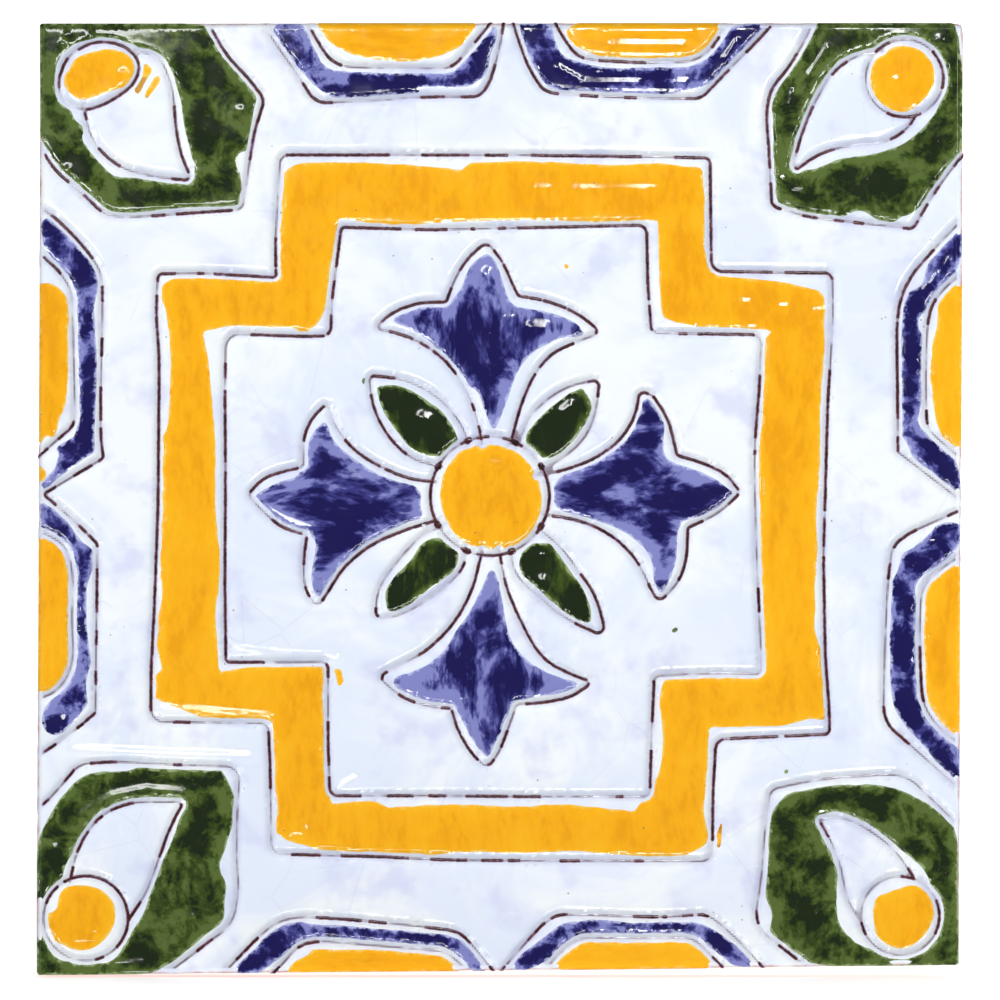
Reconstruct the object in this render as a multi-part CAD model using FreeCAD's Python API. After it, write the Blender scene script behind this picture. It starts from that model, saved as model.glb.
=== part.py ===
import FreeCAD, Part
import math
import os

# A hand-made glazed relief tile: a red clay plate with thin raised lines pressed into its
# face, a white tin glaze over the whole face, coloured glazes brushed into the fields
# between the lines, and dark manganese lines drawn along the crests.
#
# Every outline is drawn in the plane of the face, x to the right and y up from the middle
# of the tile, and grows towards the viewer. turned_upright() then stands the tile on its
# lower edge: +X right, +Z up, the face towards -Y, the back on the plane y = 0.
# All lengths are millimetres.

# ---- Driving dimensions ------------------------------------------------------------------

# The four corners of the face. The tile was cut by hand, a little out of square.
TOP_LEFT = (-52.3, 53.9)
TOP_RIGHT = (52.7, 53.9)
BOTTOM_RIGHT = (52.2, -53.2)
BOTTOM_LEFT = (-52.7, -54.4)

CLAY_THICKNESS = 6.6    # plate, between the back and the sunk fields of the face
GLAZE_THICKNESS = 0.5   # white coat in the fields
CREST_HEIGHT = 0.85     # pressed clay line above the clay of the fields
CREST_WIDTH = 0.6
CREST_COAT = 0.12       # white coat left on a crest, where the glaze runs thin
COLOUR_THICKNESS = 0.15  # brushed colour lying in a field
LINE_WIDTH = 0.42       # manganese line on a crest
LINE_THICKNESS = 0.06
BLOT_WIDTH = 0.8        # manganese gathered where two crests meet
BLOT_LENGTH = 0.3

COATED_WIDTH = CREST_WIDTH + 2 * 0.22   # a crest with the glaze on its two flanks
FIELD_TOP = CLAY_THICKNESS + GLAZE_THICKNESS
CREST_TOP = CLAY_THICKNESS + CREST_HEIGHT + CREST_COAT

# Keying pattern pressed into the back so that the mortar holds.
KEY_ROWS = 5
KEY_COLUMNS = 5
KEY_WIDTH = 13.0
KEY_HEIGHT = 4.0
KEY_DEPTH = 0.8
KEY_PITCH_X = 18.0
KEY_PITCH_Y = 19.0

EASY = 60.0             # corner radius of a line drawn as one soft sweep
OVERRUN = 2.0           # how far a line that leaves the face is drawn past its edge


# ---- Drawing: soft lines made of straight stretches and arcs -----------------------------

class Stretch:
    """A straight stretch of a drawn line, or an arc of it when there is a centre."""

    def __init__(self, start, end, centre=None, turn=0.0):
        self.start = start
        self.end = end
        self.centre = centre
        self.turn = turn

    def length(self):
        if self.centre is None:
            return self.start.distanceToPoint(self.end)
        return abs(self.turn) * self.start.distanceToPoint(self.centre)

    def at(self, share):
        if self.centre is None:
            return self.start + (self.end - self.start) * share
        spoke = self.start - self.centre
        cosine = math.cos(self.turn * share)
        sine = math.sin(self.turn * share)
        x = spoke.x * cosine - spoke.y * sine
        y = spoke.x * sine + spoke.y * cosine
        return self.centre + FreeCAD.Vector(x, y, 0)

    def between(self, first, last):
        return Stretch(self.at(first), self.at(last), self.centre, self.turn * (last - first))

    def edge(self):
        if self.centre is None:
            return Part.makeLine(self.start, self.end)
        return Part.Arc(self.start, self.at(0.5), self.end).toShape()


def eased_corner(corner, before, after, radius):
    """The arc that rounds one corner, as large as the two sides leave room for."""
    to_before = before - corner
    to_after = after - corner
    half_angle = to_before.getAngle(to_after) / 2
    room = 0.49 * min(to_before.Length, to_after.Length)
    if math.pi / 2 - half_angle < 0.01:
        return Stretch(corner, corner)
    radius = min(radius, room * math.tan(half_angle))
    setback = radius / math.tan(half_angle)
    to_before.normalize()
    to_after.normalize()
    inward = to_before + to_after
    inward.normalize()
    centre = corner + inward * (radius / math.sin(half_angle))
    turn = math.pi - 2 * half_angle
    if to_before.cross(to_after).z > 0:
        turn = -turn
    return Stretch(corner + to_before * setback, corner + to_after * setback, centre, turn)


def drawn(points, closed):
    """Stretches of a line past the given points. A third value is that corner's radius."""
    corners = [FreeCAD.Vector(p[0], p[1], 0) for p in points]
    radii = [p[2] if len(p) > 2 else EASY for p in points]
    count = len(corners)
    turns = []
    for i in range(count):
        if not closed and i in (0, count - 1):
            turns.append(Stretch(corners[i], corners[i]))
        else:
            turns.append(eased_corner(corners[i], corners[i - 1], corners[(i + 1) % count], radii[i]))
    stretches = []
    for i in range(count):
        if turns[i].length() > 1e-6:
            stretches.append(turns[i])
        if closed or i < count - 1:
            straight = Stretch(turns[i].end, turns[(i + 1) % count].start)
            if straight.length() > 1e-6:
                stretches.append(straight)
    return stretches


def wire(stretches):
    return Part.Wire([stretch.edge() for stretch in stretches])


def nearest_length(stretches, point):
    """How far along a drawn line its nearest point to the given one lies."""
    target = FreeCAD.Vector(point[0], point[1], 0)
    best = (1e9, 0.0)
    run = 0.0
    for stretch in stretches:
        steps = max(4, int(stretch.length() / 0.1))
        for k in range(steps + 1):
            gap = stretch.at(k / steps).distanceToPoint(target)
            if gap < best[0]:
                best = (gap, run + stretch.length() * k / steps)
        run += stretch.length()
    return best[1]


def cut_out(stretches, first, last):
    """The part of a drawn line between two distances along it."""
    kept = []
    run = 0.0
    for stretch in stretches:
        length = stretch.length()
        begin = max(0.0, (first - run) / length)
        finish = min(1.0, (last - run) / length)
        if finish - begin > 1e-3:
            kept.append(stretch.between(begin, finish))
        run += length
    return kept


def straight_strip(start, end, half):
    """Outline of a short straight stroke with round ends."""
    along = (end - start).normalize() * half
    across = FreeCAD.Vector(-along.y, along.x, 0)
    return Part.Wire([
        Part.makeLine(start + across, end + across),
        Part.Arc(end + across, end + along, end - across).toShape(),
        Part.makeLine(end - across, start - across),
        Part.Arc(start - across, start - along, start + across).toShape()])


def band(stretches, closed, width, height):
    """A flat-topped strip of the given width along a drawn line, standing on z = 0."""
    half = width / 2
    if closed:
        path = wire(stretches)
        face = Part.Face(path.makeOffset2D(half)).cut(Part.Face(path.makeOffset2D(-half)))
    elif all(stretch.centre is None for stretch in stretches):
        face = Part.Face(straight_strip(stretches[0].start, stretches[-1].end, half))
    else:
        face = Part.Face(wire(stretches).makeOffset2D(half, 0, False, False))
    return face.extrude(FreeCAD.Vector(0, 0, height))


def plate(outline, height):
    face = Part.Face(wire(drawn(outline, True)))
    return face.extrude(FreeCAD.Vector(0, 0, height))


def raised(shape, level):
    shape.translate(FreeCAD.Vector(0, 0, level))
    return shape


# ---- The three kinds of thing on the face ------------------------------------------------

RELIEF = {}    # name of a raised line -> (stretches, closed)
BRUSHED = {}   # name of a brushed colour -> list of (outline, list of holes)
INKED = {}     # name of a manganese line -> list of open stretches of raised lines
BLOTS = {}     # name of a manganese line -> list of the short stretches that carry a blot


def relief(name, points, closed=True):
    RELIEF[name] = (drawn(points, closed), closed)


def relief_circle(name, centre, radius):
    middle = FreeCAD.Vector(centre[0], centre[1], 0)
    start = middle + FreeCAD.Vector(0, radius, 0)
    bottom = middle - FreeCAD.Vector(0, radius, 0)
    halves = [Stretch(start, bottom, middle, -math.pi), Stretch(bottom, start, middle, -math.pi)]
    RELIEF[name] = (halves, True)


def brushed(name, outline, holes=()):
    BRUSHED.setdefault(name, []).append((outline, list(holes)))


def inked(name, line, *strokes):
    """Manganese along a raised line, from one point of it on to another, clockwise."""
    stretches, closed = RELIEF[line]
    for start, end in strokes:
        first = nearest_length(stretches, start)
        last = nearest_length(stretches, end)
        if closed and last <= first:
            whole = sum(stretch.length() for stretch in stretches)
            piece = cut_out(stretches, first, whole) + cut_out(stretches, 0.0, last)
        else:
            piece = cut_out(stretches, min(first, last), max(first, last))
        INKED.setdefault(name, []).append(piece)


def blotted(name, line, *points):
    """Manganese gathered in short thick blots at these points of a raised line."""
    stretches, closed = RELIEF[line]
    for point in points:
        middle = nearest_length(stretches, point)
        piece = cut_out(stretches, middle - BLOT_LENGTH / 2, middle + BLOT_LENGTH / 2)
        BLOTS.setdefault(name, []).append(piece)


# ---- The stepped cross of yellow between two raised lines --------------------------------

relief("band_outer", [
    (-24.9, 38.8, 1.0), (-12, 38.8), (8, 38.75), (23.85, 38.45, 0.7), (23.9, 33), (24.0, 25.6, 1.3),
    (33, 25.45), (37.7, 25.4, 0.9), (37.8, 20), (37.2, 11), (36.7, -7), (36.9, -18), (37.35, -24),
    (37.4, -26.9, 0.6), (31, -27.2), (24.5, -27.5, 1.3), (24.15, -34), (24.1, -41.3, 1.2), (8, -41.3),
    (-6, -41.2), (-14, -40.8), (-25.9, -40.5, 1.3), (-26.1, -30), (-26.3, -25.7, 0.9), (-32, -25.6),
    (-39.6, -25.5, 1.5), (-39.6, -20), (-39.2, -12), (-38.8, -1), (-38.65, 16), (-39.05, 21),
    (-38.8, 25.3, 0.6), (-34, 25.4), (-25.4, 24.9, 0.4), (-25.5, 29)])
relief("band_inner", [
    (-18.0, 30.6, 0.5), (-8, 30.3), (8, 30.65), (16.65, 30.85, 1.0), (16.75, 24), (17.2, 18.6, 0.9),
    (23, 18.5), (29.7, 18.4, 1.2), (29.4, 12), (28.8, 5), (29.1, -6), (29.4, -13), (29.7, -20.1, 0.6),
    (24, -20.0), (17.5, -20.3, 0.8), (17.2, -27), (17.0, -34.0, 0.8), (5, -34.0), (-8, -33.9),
    (-19.3, -33.9, 1.0), (-19.5, -28), (-19.5, -18.7, 0.8), (-25, -18.75), (-31.1, -18.75, 0.5),
    (-31.2, -10), (-31.15, 4), (-31.2, 12), (-31.1, 18.5, 1.6), (-22, 18.2), (-19.2, 18.3, 1.0),
    (-19.1, 22)])

brushed("yellow_band", [
    (-24.5, 37.0, 1.0), (-22.8, 37.95), (-16, 38.0), (-9, 37.6), (-4.3, 37.1, 0.2), (-3.4, 37.9, 0.4),
    (2, 38.15), (7, 37.95), (13, 37.6), (18.5, 37.95), (21.3, 37.4), (22.9, 37.6, 0.8), (23.25, 34),
    (23.2, 27.5), (24.6, 25.0), (28, 24.85), (33, 24.3), (36.9, 23.2, 1.2), (36.8, 20), (36.9, 16.5),
    (36.3, 11), (36.4, 5), (35.85, -2.5), (36.1, -5.5), (35.7, -10.5), (35.85, -12.5), (35.6, -14.9),
    (36.6, -18), (36.9, -25.4, 0.3), (35.0, -25.1, 0.6), (32.5, -26.0), (23.7, -26.15, 0.4), (23.5, -32),
    (23.0, -36), (23.85, -39.0, 1.0), (21.5, -40.7), (17.5, -40.85), (12, -40.5), (8, -40.1),
    (3, -40.5), (-4, -40.2), (-9, -40.85), (-14, -40.55), (-19.5, -40.3), (-24.4, -38.9, 0.4),
    (-25.6, -37.9, 0.3), (-25.2, -36), (-25.8, -30), (-25.85, -25.4, 0.3), (-33, -25.4),
    (-36.5, -23.9), (-39.1, -22.9, 0.3), (-39.2, -20.5, 0.3), (-38.4, -19.6, 0.3), (-39.1, -16),
    (-38.2, -10), (-38.9, -8.4, 0.3), (-38.2, -1), (-38.4, 6.2, 0.4), (-37.6, 8.5), (-37.3, 16),
    (-37.9, 21.5), (-39.1, 23.4, 0.7), (-36.5, 25.35), (-31, 24.95), (-25.0, 24.45, 0.4), (-25.25, 31)],
    [[
        (-18.3, 31.75, 0.3), (-14.5, 31.0), (-10, 30.9), (-5, 31.3), (5, 31.5), (10, 31.2),
        (17.9, 31.45, 0.3), (18.1, 24), (18.4, 20.3, 0.7), (22, 19.3), (26, 19.3), (31.0, 18.9, 0.2),
        (29.9, 17.8, 0.5), (29.8, 8), (29.0, 4.6, 0.3), (28.9, -2), (29.45, -13), (29.3, -15.5),
        (29.75, -20.35, 0.3), (22, -20.1), (18.7, -20.5, 0.4), (18.0, -22.8), (18.6, -27), (18.2, -31.5),
        (16.2, -34.2), (15.3, -35.7, 0.6), (10.5, -35.2), (7, -34.8), (2, -35.25), (-5, -34.8),
        (-12.6, -35.25, 0.5), (-14.5, -34.4), (-19.2, -34.85, 0.2), (-19.5, -28), (-20.3, -22),
        (-19.6, -20.3, 0.4), (-20.4, -18.7, 0.4), (-27, -19.0), (-31.9, -19.9, 0.4), (-32.1, -16),
        (-32.4, -13.8), (-31.6, -8), (-32.4, -1), (-32.2, 5), (-33.1, 16), (-33.8, 18.75, 0.4),
        (-30.5, 19.5), (-23.2, 19.2, 0.3), (-22.4, 18.3, 0.3), (-20, 20.2), (-19.3, 25.5)]])

inked("line_band_outer", "band_outer",
      ((-24.2, 38.6), (-12.6, 38.8)), ((-8.8, 38.8), (-3.6, 38.8)), ((-1.6, 38.8), (0.8, 38.8)),
      ((3.6, 38.8), (16.0, 38.6)), ((19.9, 38.5), (24.0, 28.0)), ((24.0, 27.6), (30.8, 25.4)),
      ((32.4, 25.4), (37.5, 24.7)), ((37.4, 14.4), (36.9, -1.5)), ((36.8, -2.4), (36.7, -5.6)),
      ((36.7, -6.8), (35.5, -27.0)), ((35.2, -27.0), (32.4, -27.1)), ((31.4, -27.2), (26.2, -27.4)),
      ((25.2, -27.4), (24.1, -38.9)), ((16.2, -41.3), (15.3, -41.3)), ((9.0, -41.3), (6.9, -41.3)),
      ((2.2, -41.3), (1.0, -41.3)), ((0.3, -41.2), (-2.0, -41.2)), ((-3.8, -41.2), (-7.8, -41.1)),
      ((-10.4, -40.9), (-17.9, -40.6)), ((-20.4, -40.6), (-23.6, -40.6)), ((-26.0, -33.0), (-26.2, -26.6)),
      ((-35.2, -25.6), (-37.0, -25.6)), ((-39.65, -24.2), (-39.0, 22.8)), ((-38.9, 24.4), (-36.9, 25.4)),
      ((-34.3, 25.4), (-33.6, 25.4)), ((-32.4, 25.2), (-25.4, 25.8)), ((-25.5, 26.2), (-25.5, 29.4)))
inked("line_band_inner", "band_inner",
      ((-17.9, 28.0), (-11.3, 30.4)), ((-9.6, 30.3), (-6.0, 30.3)), ((-3.2, 30.4), (-2.9, 30.4)),
      ((-0.1, 30.5), (0.6, 30.5)), ((2.0, 30.6), (16.8, 22.4)), ((16.9, 21.6), (17.3, 19.1)),
      ((20.4, 18.6), (21.2, 18.6)), ((22.5, 18.5), (28.8, 18.4)), ((29.5, 13.8), (28.8, 6.8)),
      ((28.8, 5.3), (28.9, 4.8)), ((29.3, -10.4), (29.4, -13.0)), ((17.5, -20.9), (17.3, -25.5)),
      ((17.2, -28.8), (17.0, -32.9)), ((13.9, -34.0), (13.2, -34.0)), ((4.6, -34.0), (1.6, -34.0)),
      ((0.8, -34.0), (-3.8, -33.9)), ((-6.2, -33.9), (-8.0, -33.9)), ((-9.9, -33.9), (-12.7, -33.9)),
      ((-15.8, -33.9), (-19.5, -31.8)), ((-19.5, -30.4), (-19.5, -25.6)), ((-19.5, -20.4), (-19.7, -19.0)),
      ((-26.8, -18.75), (-31.2, 2.8)), ((-31.2, 4.0), (-31.2, 12.0)), ((-31.2, 13.6), (-31.2, 15.2)),
      ((-28.2, 18.3), (-20.0, 18.2)), ((-19.5, 18.5), (-19.1, 20.6)), ((-18.9, 22.6), (-18.6, 24.5)),
      ((-18.4, 26.2), (-18.0, 29.4)))


# ---- The centre disc ---------------------------------------------------------------------

relief_circle("disc", (-1.15, 0.1), 6.75)
brushed("centre_disc", [
    (-1.0, 6.2), (2.4, 5.0), (4.2, 2.6), (4.9, -0.5), (4.3, -2.8), (2.6, -5.2), (0.6, -5.95), (-2.4, -5.8),
    (-4.4, -5.0), (-6.0, -3.2), (-6.9, -0.2), (-6.6, 2.2), (-5.7, 3.9), (-4.4, 5.4)])
inked("line_disc", "disc",
      ((-2.7, 7.0), (-1.4, 6.9)), ((0.4, 6.6), (2.4, 5.8)), ((4.6, 3.7), (5.0, -2.8)),
      ((4.8, -3.3), (4.2, -4.1)), ((1.6, -6.1), (-2.5, -6.5)), ((-3.4, -6.3), (-4.4, -5.9)),
      ((-6.9, -3.4), (-7.2, 3.1)), ((-6.9, 3.7), (-6.7, 4.1)), ((-4.4, 6.0), (-3.4, 6.5)))
blotted("line_disc", "disc", (-7.7, 3.8), (-3.9, 7.2), (1.7, 6.1), (4.7, 3.4))
blotted("line_disc", "disc", (4.7, -3.3), (1.3, -6.1), (-3.9, -6.4), (-7.4, -3.4))


# ---- Four fleur-de-lis petals, stems on the disc -----------------------------------------

relief("petal_top", [
    (-2.0, 6.0), (-2.7, 9.5), (-4.1, 12.8), (-6.4, 15.8), (-9.6, 17.9), (-12.4, 18.8), (-14.4, 19.0, 0.5),
    (-12.2, 21.0), (-9.0, 22.1), (-6.1, 22.1, 0.5), (-5.2, 24.6), (-3.8, 27.0), (-1.5, 29.0, 0.9),
    (0.4, 26.6), (1.4, 24.2), (2.1, 22.8, 0.6), (5.2, 22.3), (8.6, 21.0), (11.6, 18.6, 0.6),
    (9.4, 17.9), (5.8, 16.3), (3.9, 14.0), (2.3, 10.3), (1.2, 6.0)], closed=False)
relief("petal_right", [
    (4.2, 2.4), (6.8, 2.9), (10.4, 4.1), (13.6, 6.3), (15.4, 9.2), (15.8, 12.0, 0.7), (17.3, 11.6),
    (19.1, 8.9), (19.8, 6.0), (20.1, 4.7, 0.5), (23.0, 3.9), (25.8, 2.5), (27.3, 0.5, 0.8),
    (24.8, -1.9), (21.3, -3.5, 0.6), (21.2, -7.0), (20.3, -9.7), (18.0, -12.0, 0.7), (17.1, -10.4),
    (15.6, -7.1), (12.6, -4.2), (9.0, -2.6), (5.0, -2.0)], closed=False)
relief("petal_bottom", [
    (-0.1, -6.0), (0.6, -10.0), (2.2, -13.8), (4.1, -17.3), (5.6, -18.9), (8.2, -20.2), (10.5, -21.0, 0.4),
    (8.2, -22.7), (4.6, -23.4), (1.9, -23.5, 0.6), (0.9, -26.4), (-0.2, -29.2), (-1.5, -30.8, 0.8),
    (-3.4, -28.9), (-4.9, -26.2), (-5.5, -24.0, 0.4), (-8.0, -23.8), (-11.2, -22.8), (-13.8, -20.4, 0.6),
    (-11.8, -19.3), (-8.6, -17.7), (-5.4, -14.7), (-3.1, -10.7), (-2.0, -6.0)], closed=False)
relief("petal_left", [
    (-7.0, -2.6), (-10.4, -3.6), (-14.6, -5.3), (-17.8, -8.0), (-19.4, -10.6), (-20.7, -12.6, 0.6),
    (-22.2, -10.4), (-22.3, -7.2), (-21.9, -4.3, 0.4), (-24.6, -3.6), (-26.8, -1.8), (-28.6, 0.3, 0.7),
    (-26.8, 2.2), (-24.6, 2.9), (-22.3, 3.4, 0.5), (-22.3, 6.8), (-21.4, 8.9), (-19.6, 10.7, 0.5),
    (-18.6, 7.7), (-16.4, 5.1), (-13.4, 3.3), (-10.2, 2.0), (-7.2, 1.7)], closed=False)

brushed("petal_top", [
    (-0.7, 7.3, 0.3), (0.6, 10.2), (1.7, 13.8), (3.4, 16.3), (7.2, 18.3), (9.8, 18.0, 0.2), (8.8, 19.8),
    (5.4, 21.1), (1.3, 21.6), (0.5, 23.8), (-0.4, 26.8), (-1.5, 27.7, 0.5), (-3.4, 26.4), (-4.4, 23.6),
    (-5.6, 22.2), (-9.2, 21.5), (-12.4, 20.2, 0.4), (-11.4, 19.5), (-8.4, 18.2), (-6.2, 15.7),
    (-4.2, 13.0), (-2.4, 12.0), (-1.6, 9.4)])
brushed("petal_right", [
    (5.8, 0.6, 0.5), (6.8, 2.4), (10.4, 3.7), (13.6, 5.6), (15.5, 8.0), (15.9, 10.6), (17.0, 11.6, 0.4),
    (18.9, 9.0), (18.5, 6.4), (18.6, 4.4), (20.5, 3.6), (23.6, 2.6), (25.6, 1.2), (26.7, 0.4, 0.3),
    (25.6, -1.0), (23.3, -2.0), (20.6, -2.8, 0.4), (20.1, -4.4), (20.1, -7.0), (19.3, -9.4),
    (18.3, -11.2, 0.4), (17.4, -9.8), (17.4, -7.4), (16.0, -5.2), (13.0, -3.3), (9.4, -2.2), (6.4, -1.5)])
brushed("petal_bottom", [
    (-0.9, -7.6, 0.4), (0.1, -10.4), (0.6, -14.0), (1.2, -16.4), (3.2, -18.8), (6.0, -20.3),
    (9.5, -21.2, 0.6), (7.4, -22.2), (2.6, -22.9), (1.0, -24.4), (0.0, -26.8), (-1.4, -29.8, 0.4),
    (-3.2, -27.6), (-4.5, -24.9), (-5.6, -23.6), (-8.4, -23.2), (-12.2, -21.6, 0.4), (-12.0, -20.4),
    (-9.0, -19.6), (-6.4, -17.7), (-4.8, -14.9), (-3.0, -12.4), (-1.8, -9.7)])
brushed("petal_left", [
    (-8.9, 0.2, 0.6), (-9.6, 1.3), (-13.4, 2.2), (-16.4, 4.2), (-18.9, 6.2), (-19.8, 8.8, 0.4),
    (-21.4, 7.2), (-22.3, 4.6), (-22.6, 2.4), (-25.6, 1.6), (-28.2, -0.1, 0.5), (-26.2, -1.8),
    (-23.8, -3.6), (-21.8, -4.3, 0.4), (-20.8, -5.0), (-21.2, -7.4), (-21.5, -9.3), (-20.8, -12.0, 0.5),
    (-19.4, -9.8), (-17.4, -7.4), (-14.6, -4.8), (-11.6, -3.3), (-8.6, -2.3), (-9.1, -0.9)])

inked("line_petal_top", "petal_top",
      ((-2.1, 6.6), (-2.4, 8.0)), ((-2.8, 9.9), (-3.0, 10.6)), ((-4.9, 14.2), (-7.4, 16.7)),
      ((-8.0, 17.1), (-8.9, 17.6)), ((-9.9, 18.0), (-12.4, 18.8)), ((-13.4, 20.0), (-5.6, 23.7)),
      ((-4.6, 25.7), (-1.2, 28.6)), ((-0.6, 28.0), (0.3, 26.8)), ((0.5, 26.4), (3.2, 22.7)),
      ((3.5, 22.6), (4.6, 22.4)), ((5.0, 22.3), (7.4, 21.5)), ((7.8, 21.4), (11.3, 18.4)),
      ((8.2, 17.5), (4.4, 14.8)), ((3.9, 13.9), (1.2, 6.6)))
inked("line_petal_right", "petal_right",
      ((6.4, 2.8), (15.9, 11.6)), ((16.0, 11.9), (16.8, 11.8)), ((17.4, 11.4), (27.0, 0.9)),
      ((27.0, 0.3), (26.0, -0.9)), ((23.0, -2.7), (20.4, -9.5)), ((18.8, -11.3), (16.9, -9.9)),
      ((15.9, -7.6), (6.0, -2.1)))
inked("line_petal_bottom", "petal_bottom",
      ((-0.1, -6.6), (0.1, -7.5)), ((0.5, -9.2), (5.6, -18.8)), ((5.8, -19.0), (9.8, -20.8)),
      ((10.2, -21.2), (3.0, -23.4)), ((0.9, -26.6), (0.2, -28.4)), ((-0.6, -29.9), (-1.3, -30.5)),
      ((-2.6, -29.8), (-5.6, -24.3)), ((-5.8, -23.9), (-6.6, -23.9)), ((-9.8, -23.4), (-11.6, -22.6)),
      ((-13.5, -20.7), (-12.9, -19.8)), ((-9.2, -18.0), (-2.0, -6.6)))
inked("line_petal_left", "petal_left",
      ((-7.4, -2.8), (-20.1, -11.8)), ((-21.6, -11.2), (-22.2, -10.2)), ((-22.3, -7.6), (-21.9, -4.7)),
      ((-22.6, -4.1), (-25.9, -2.6)), ((-28.2, 0.6), (-23.0, 3.2)), ((-22.3, 6.4), (-20.0, 10.2)),
      ((-17.6, 6.4), (-13.7, 3.5)), ((-13.0, 3.1), (-7.6, 1.8)))


# ---- Four leaves between the petals ------------------------------------------------------

relief("leaf_nw", [
    (-3.6, 6.0), (-4.2, 8.0), (-6.2, 10.6), (-8.4, 12.2), (-11.0, 13.4), (-14.9, 13.8, 0.6), (-14.5, 10.6),
    (-13.4, 8.0), (-11.8, 5.8), (-9.8, 4.2), (-6.6, 3.4)], closed=False)
relief("leaf_ne", [
    (4.6, 3.0), (6.8, 4.2), (9.0, 5.9), (10.4, 8.0), (11.0, 10.4), (11.3, 13.3, 0.6), (8.0, 12.7),
    (5.4, 11.2), (3.2, 9.0), (2.0, 5.8)], closed=False)
relief("leaf_se", [
    (1.2, -6.0), (1.5, -8.2), (2.8, -10.0), (4.8, -11.6), (6.4, -13.1), (8.6, -14.4), (12.0, -15.9, 0.7),
    (11.5, -13.2), (10.6, -10.7), (9.2, -8.8), (7.1, -5.8), (4.4, -3.6)], closed=False)
relief("leaf_sw", [
    (-6.6, -3.4), (-8.7, -4.1), (-10.5, -6.0), (-12.4, -8.2), (-13.9, -10.6), (-14.2, -14.0, 0.9),
    (-11.2, -13.4), (-8.6, -12.0), (-5.8, -9.9), (-4.1, -8.0), (-3.8, -5.8)], closed=False)

brushed("leaf_nw", [
    (-14.1, 12.5, 0.4), (-11.4, 12.8), (-9.0, 11.5), (-6.4, 9.6), (-5.2, 7.7), (-4.6, 6.0, 0.4),
    (-5.2, 4.7), (-7.6, 4.6), (-9.6, 4.9), (-11.4, 7.0), (-13.4, 9.8)])
brushed("leaf_ne", [
    (2.8, 7.1), (4.8, 9.3), (7.2, 11.4), (9.3, 12.4, 0.3), (10.5, 10.8), (10.2, 9.2), (8.8, 6.9),
    (6.9, 4.9), (5.6, 4.4, 0.5), (3.6, 4.6), (3.0, 5.6)])
brushed("leaf_se", [
    (2.9, -5.3, 0.5), (5.8, -5.2, 0.6), (7.4, -7.6), (9.6, -10.6), (10.4, -13.0), (10.3, -14.4, 0.4),
    (8.6, -13.9), (5.8, -12.0), (4.2, -10.2), (2.2, -8.6), (2.2, -6.9)])
brushed("leaf_sw", [
    (-8.6, -4.7), (-5.8, -4.6), (-4.7, -5.8), (-4.8, -7.8), (-5.8, -8.9), (-8.2, -10.5), (-10.4, -12.4),
    (-12.7, -13.2, 0.5), (-13.2, -11.0), (-12.0, -8.9), (-10.2, -7.4)])

inked("line_leaf_nw", "leaf_nw", ((-12.0, 13.6), (-14.6, 13.7)), ((-14.6, 11.6), (-10.6, 4.8)))
inked("line_leaf_ne", "leaf_ne", ((10.0, 13.1), (11.2, 11.4)))
inked("line_leaf_se", "leaf_se", ((9.2, -8.8), (8.6, -14.4)))
inked("line_leaf_sw", "leaf_sw", ((-14.1, -12.6), (-14.0, -13.6)), ((-4.6, -8.6), (-4.0, -7.4)))


# ---- Four corners: a green ring round a white drop and a yellow disc ---------------------

relief("corner_nw_outer", [
    (-34.4, 56.0), (-32.6, 52.9), (-30.9, 49.9), (-28.6, 47.6), (-26.7, 45.1, 1.6), (-27.9, 41.4),
    (-28.5, 37.4), (-29.2, 32.6, 1.0), (-34, 32.3), (-40.5, 31.8), (-44.6, 31.7), (-47.2, 34.3),
    (-50.6, 37.1), (-52.2, 39.9), (-54.6, 43.2)], closed=False)
relief("corner_nw_disc", [
    (-50.2, 46.9), (-49.2, 50.0), (-46.0, 51.8), (-42.6, 51.3), (-40.7, 49.3), (-41.4, 46.9), (-44.0, 44.9),
    (-47.2, 43.7), (-49.6, 44.9)])
relief("corner_nw_drop", [
    (-41.4, 50.6), (-38.6, 50.0), (-37.1, 46.6), (-36.8, 42.0), (-36.2, 38.8), (-34.9, 35.9, 0.5),
    (-39.4, 36.3), (-43.4, 37.4), (-46.4, 40.4), (-47.2, 44.2)], closed=False)
relief("corner_ne_outer", [
    (36.4, 56.0), (34.7, 51.9), (32.6, 48.5), (30.7, 46.3), (30.2, 43.6), (30.5, 39.5), (30.85, 33.0, 1.0),
    (34.6, 31.8), (40.6, 31.1), (46.9, 30.4, 1.0), (48.8, 33.8), (51.2, 37.2), (54.8, 41.4)], closed=False)
relief_circle("corner_ne_disc", (45.9, 47.5), 4.4)
relief("corner_ne_drop", [
    (43.4, 50.6), (40.4, 50.1), (37.8, 48.3), (35.4, 44.3), (33.9, 40.2), (33.1, 36.7, 0.4), (36.2, 39.0),
    (39.6, 39.9), (43.8, 40.2), (46.2, 41.7), (47.4, 43.6)], closed=False)
relief("corner_sw_outer", [
    (-54.8, -37.2), (-51.5, -34.7), (-49.4, -32.3), (-47.8, -30.3), (-43.6, -30.0), (-36.6, -30.4),
    (-29.5, -30.6, 1.6), (-29.8, -36), (-29.9, -41), (-29.6, -45), (-30.4, -48.6), (-33.1, -50.5),
    (-36.0, -52.8), (-40.4, -55.8)], closed=False)
relief_circle("corner_sw_disc", (-47.0, -47.8), 4.8)
relief("corner_sw_drop", [
    (-48.8, -43.7), (-48.1, -40.4), (-46.6, -37.6), (-44.8, -35.8), (-41.8, -34.6), (-35.9, -34.6, 0.4),
    (-37.4, -37.4), (-38.7, -41.0), (-40.0, -44.8), (-42.3, -48.2)], closed=False)
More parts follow.
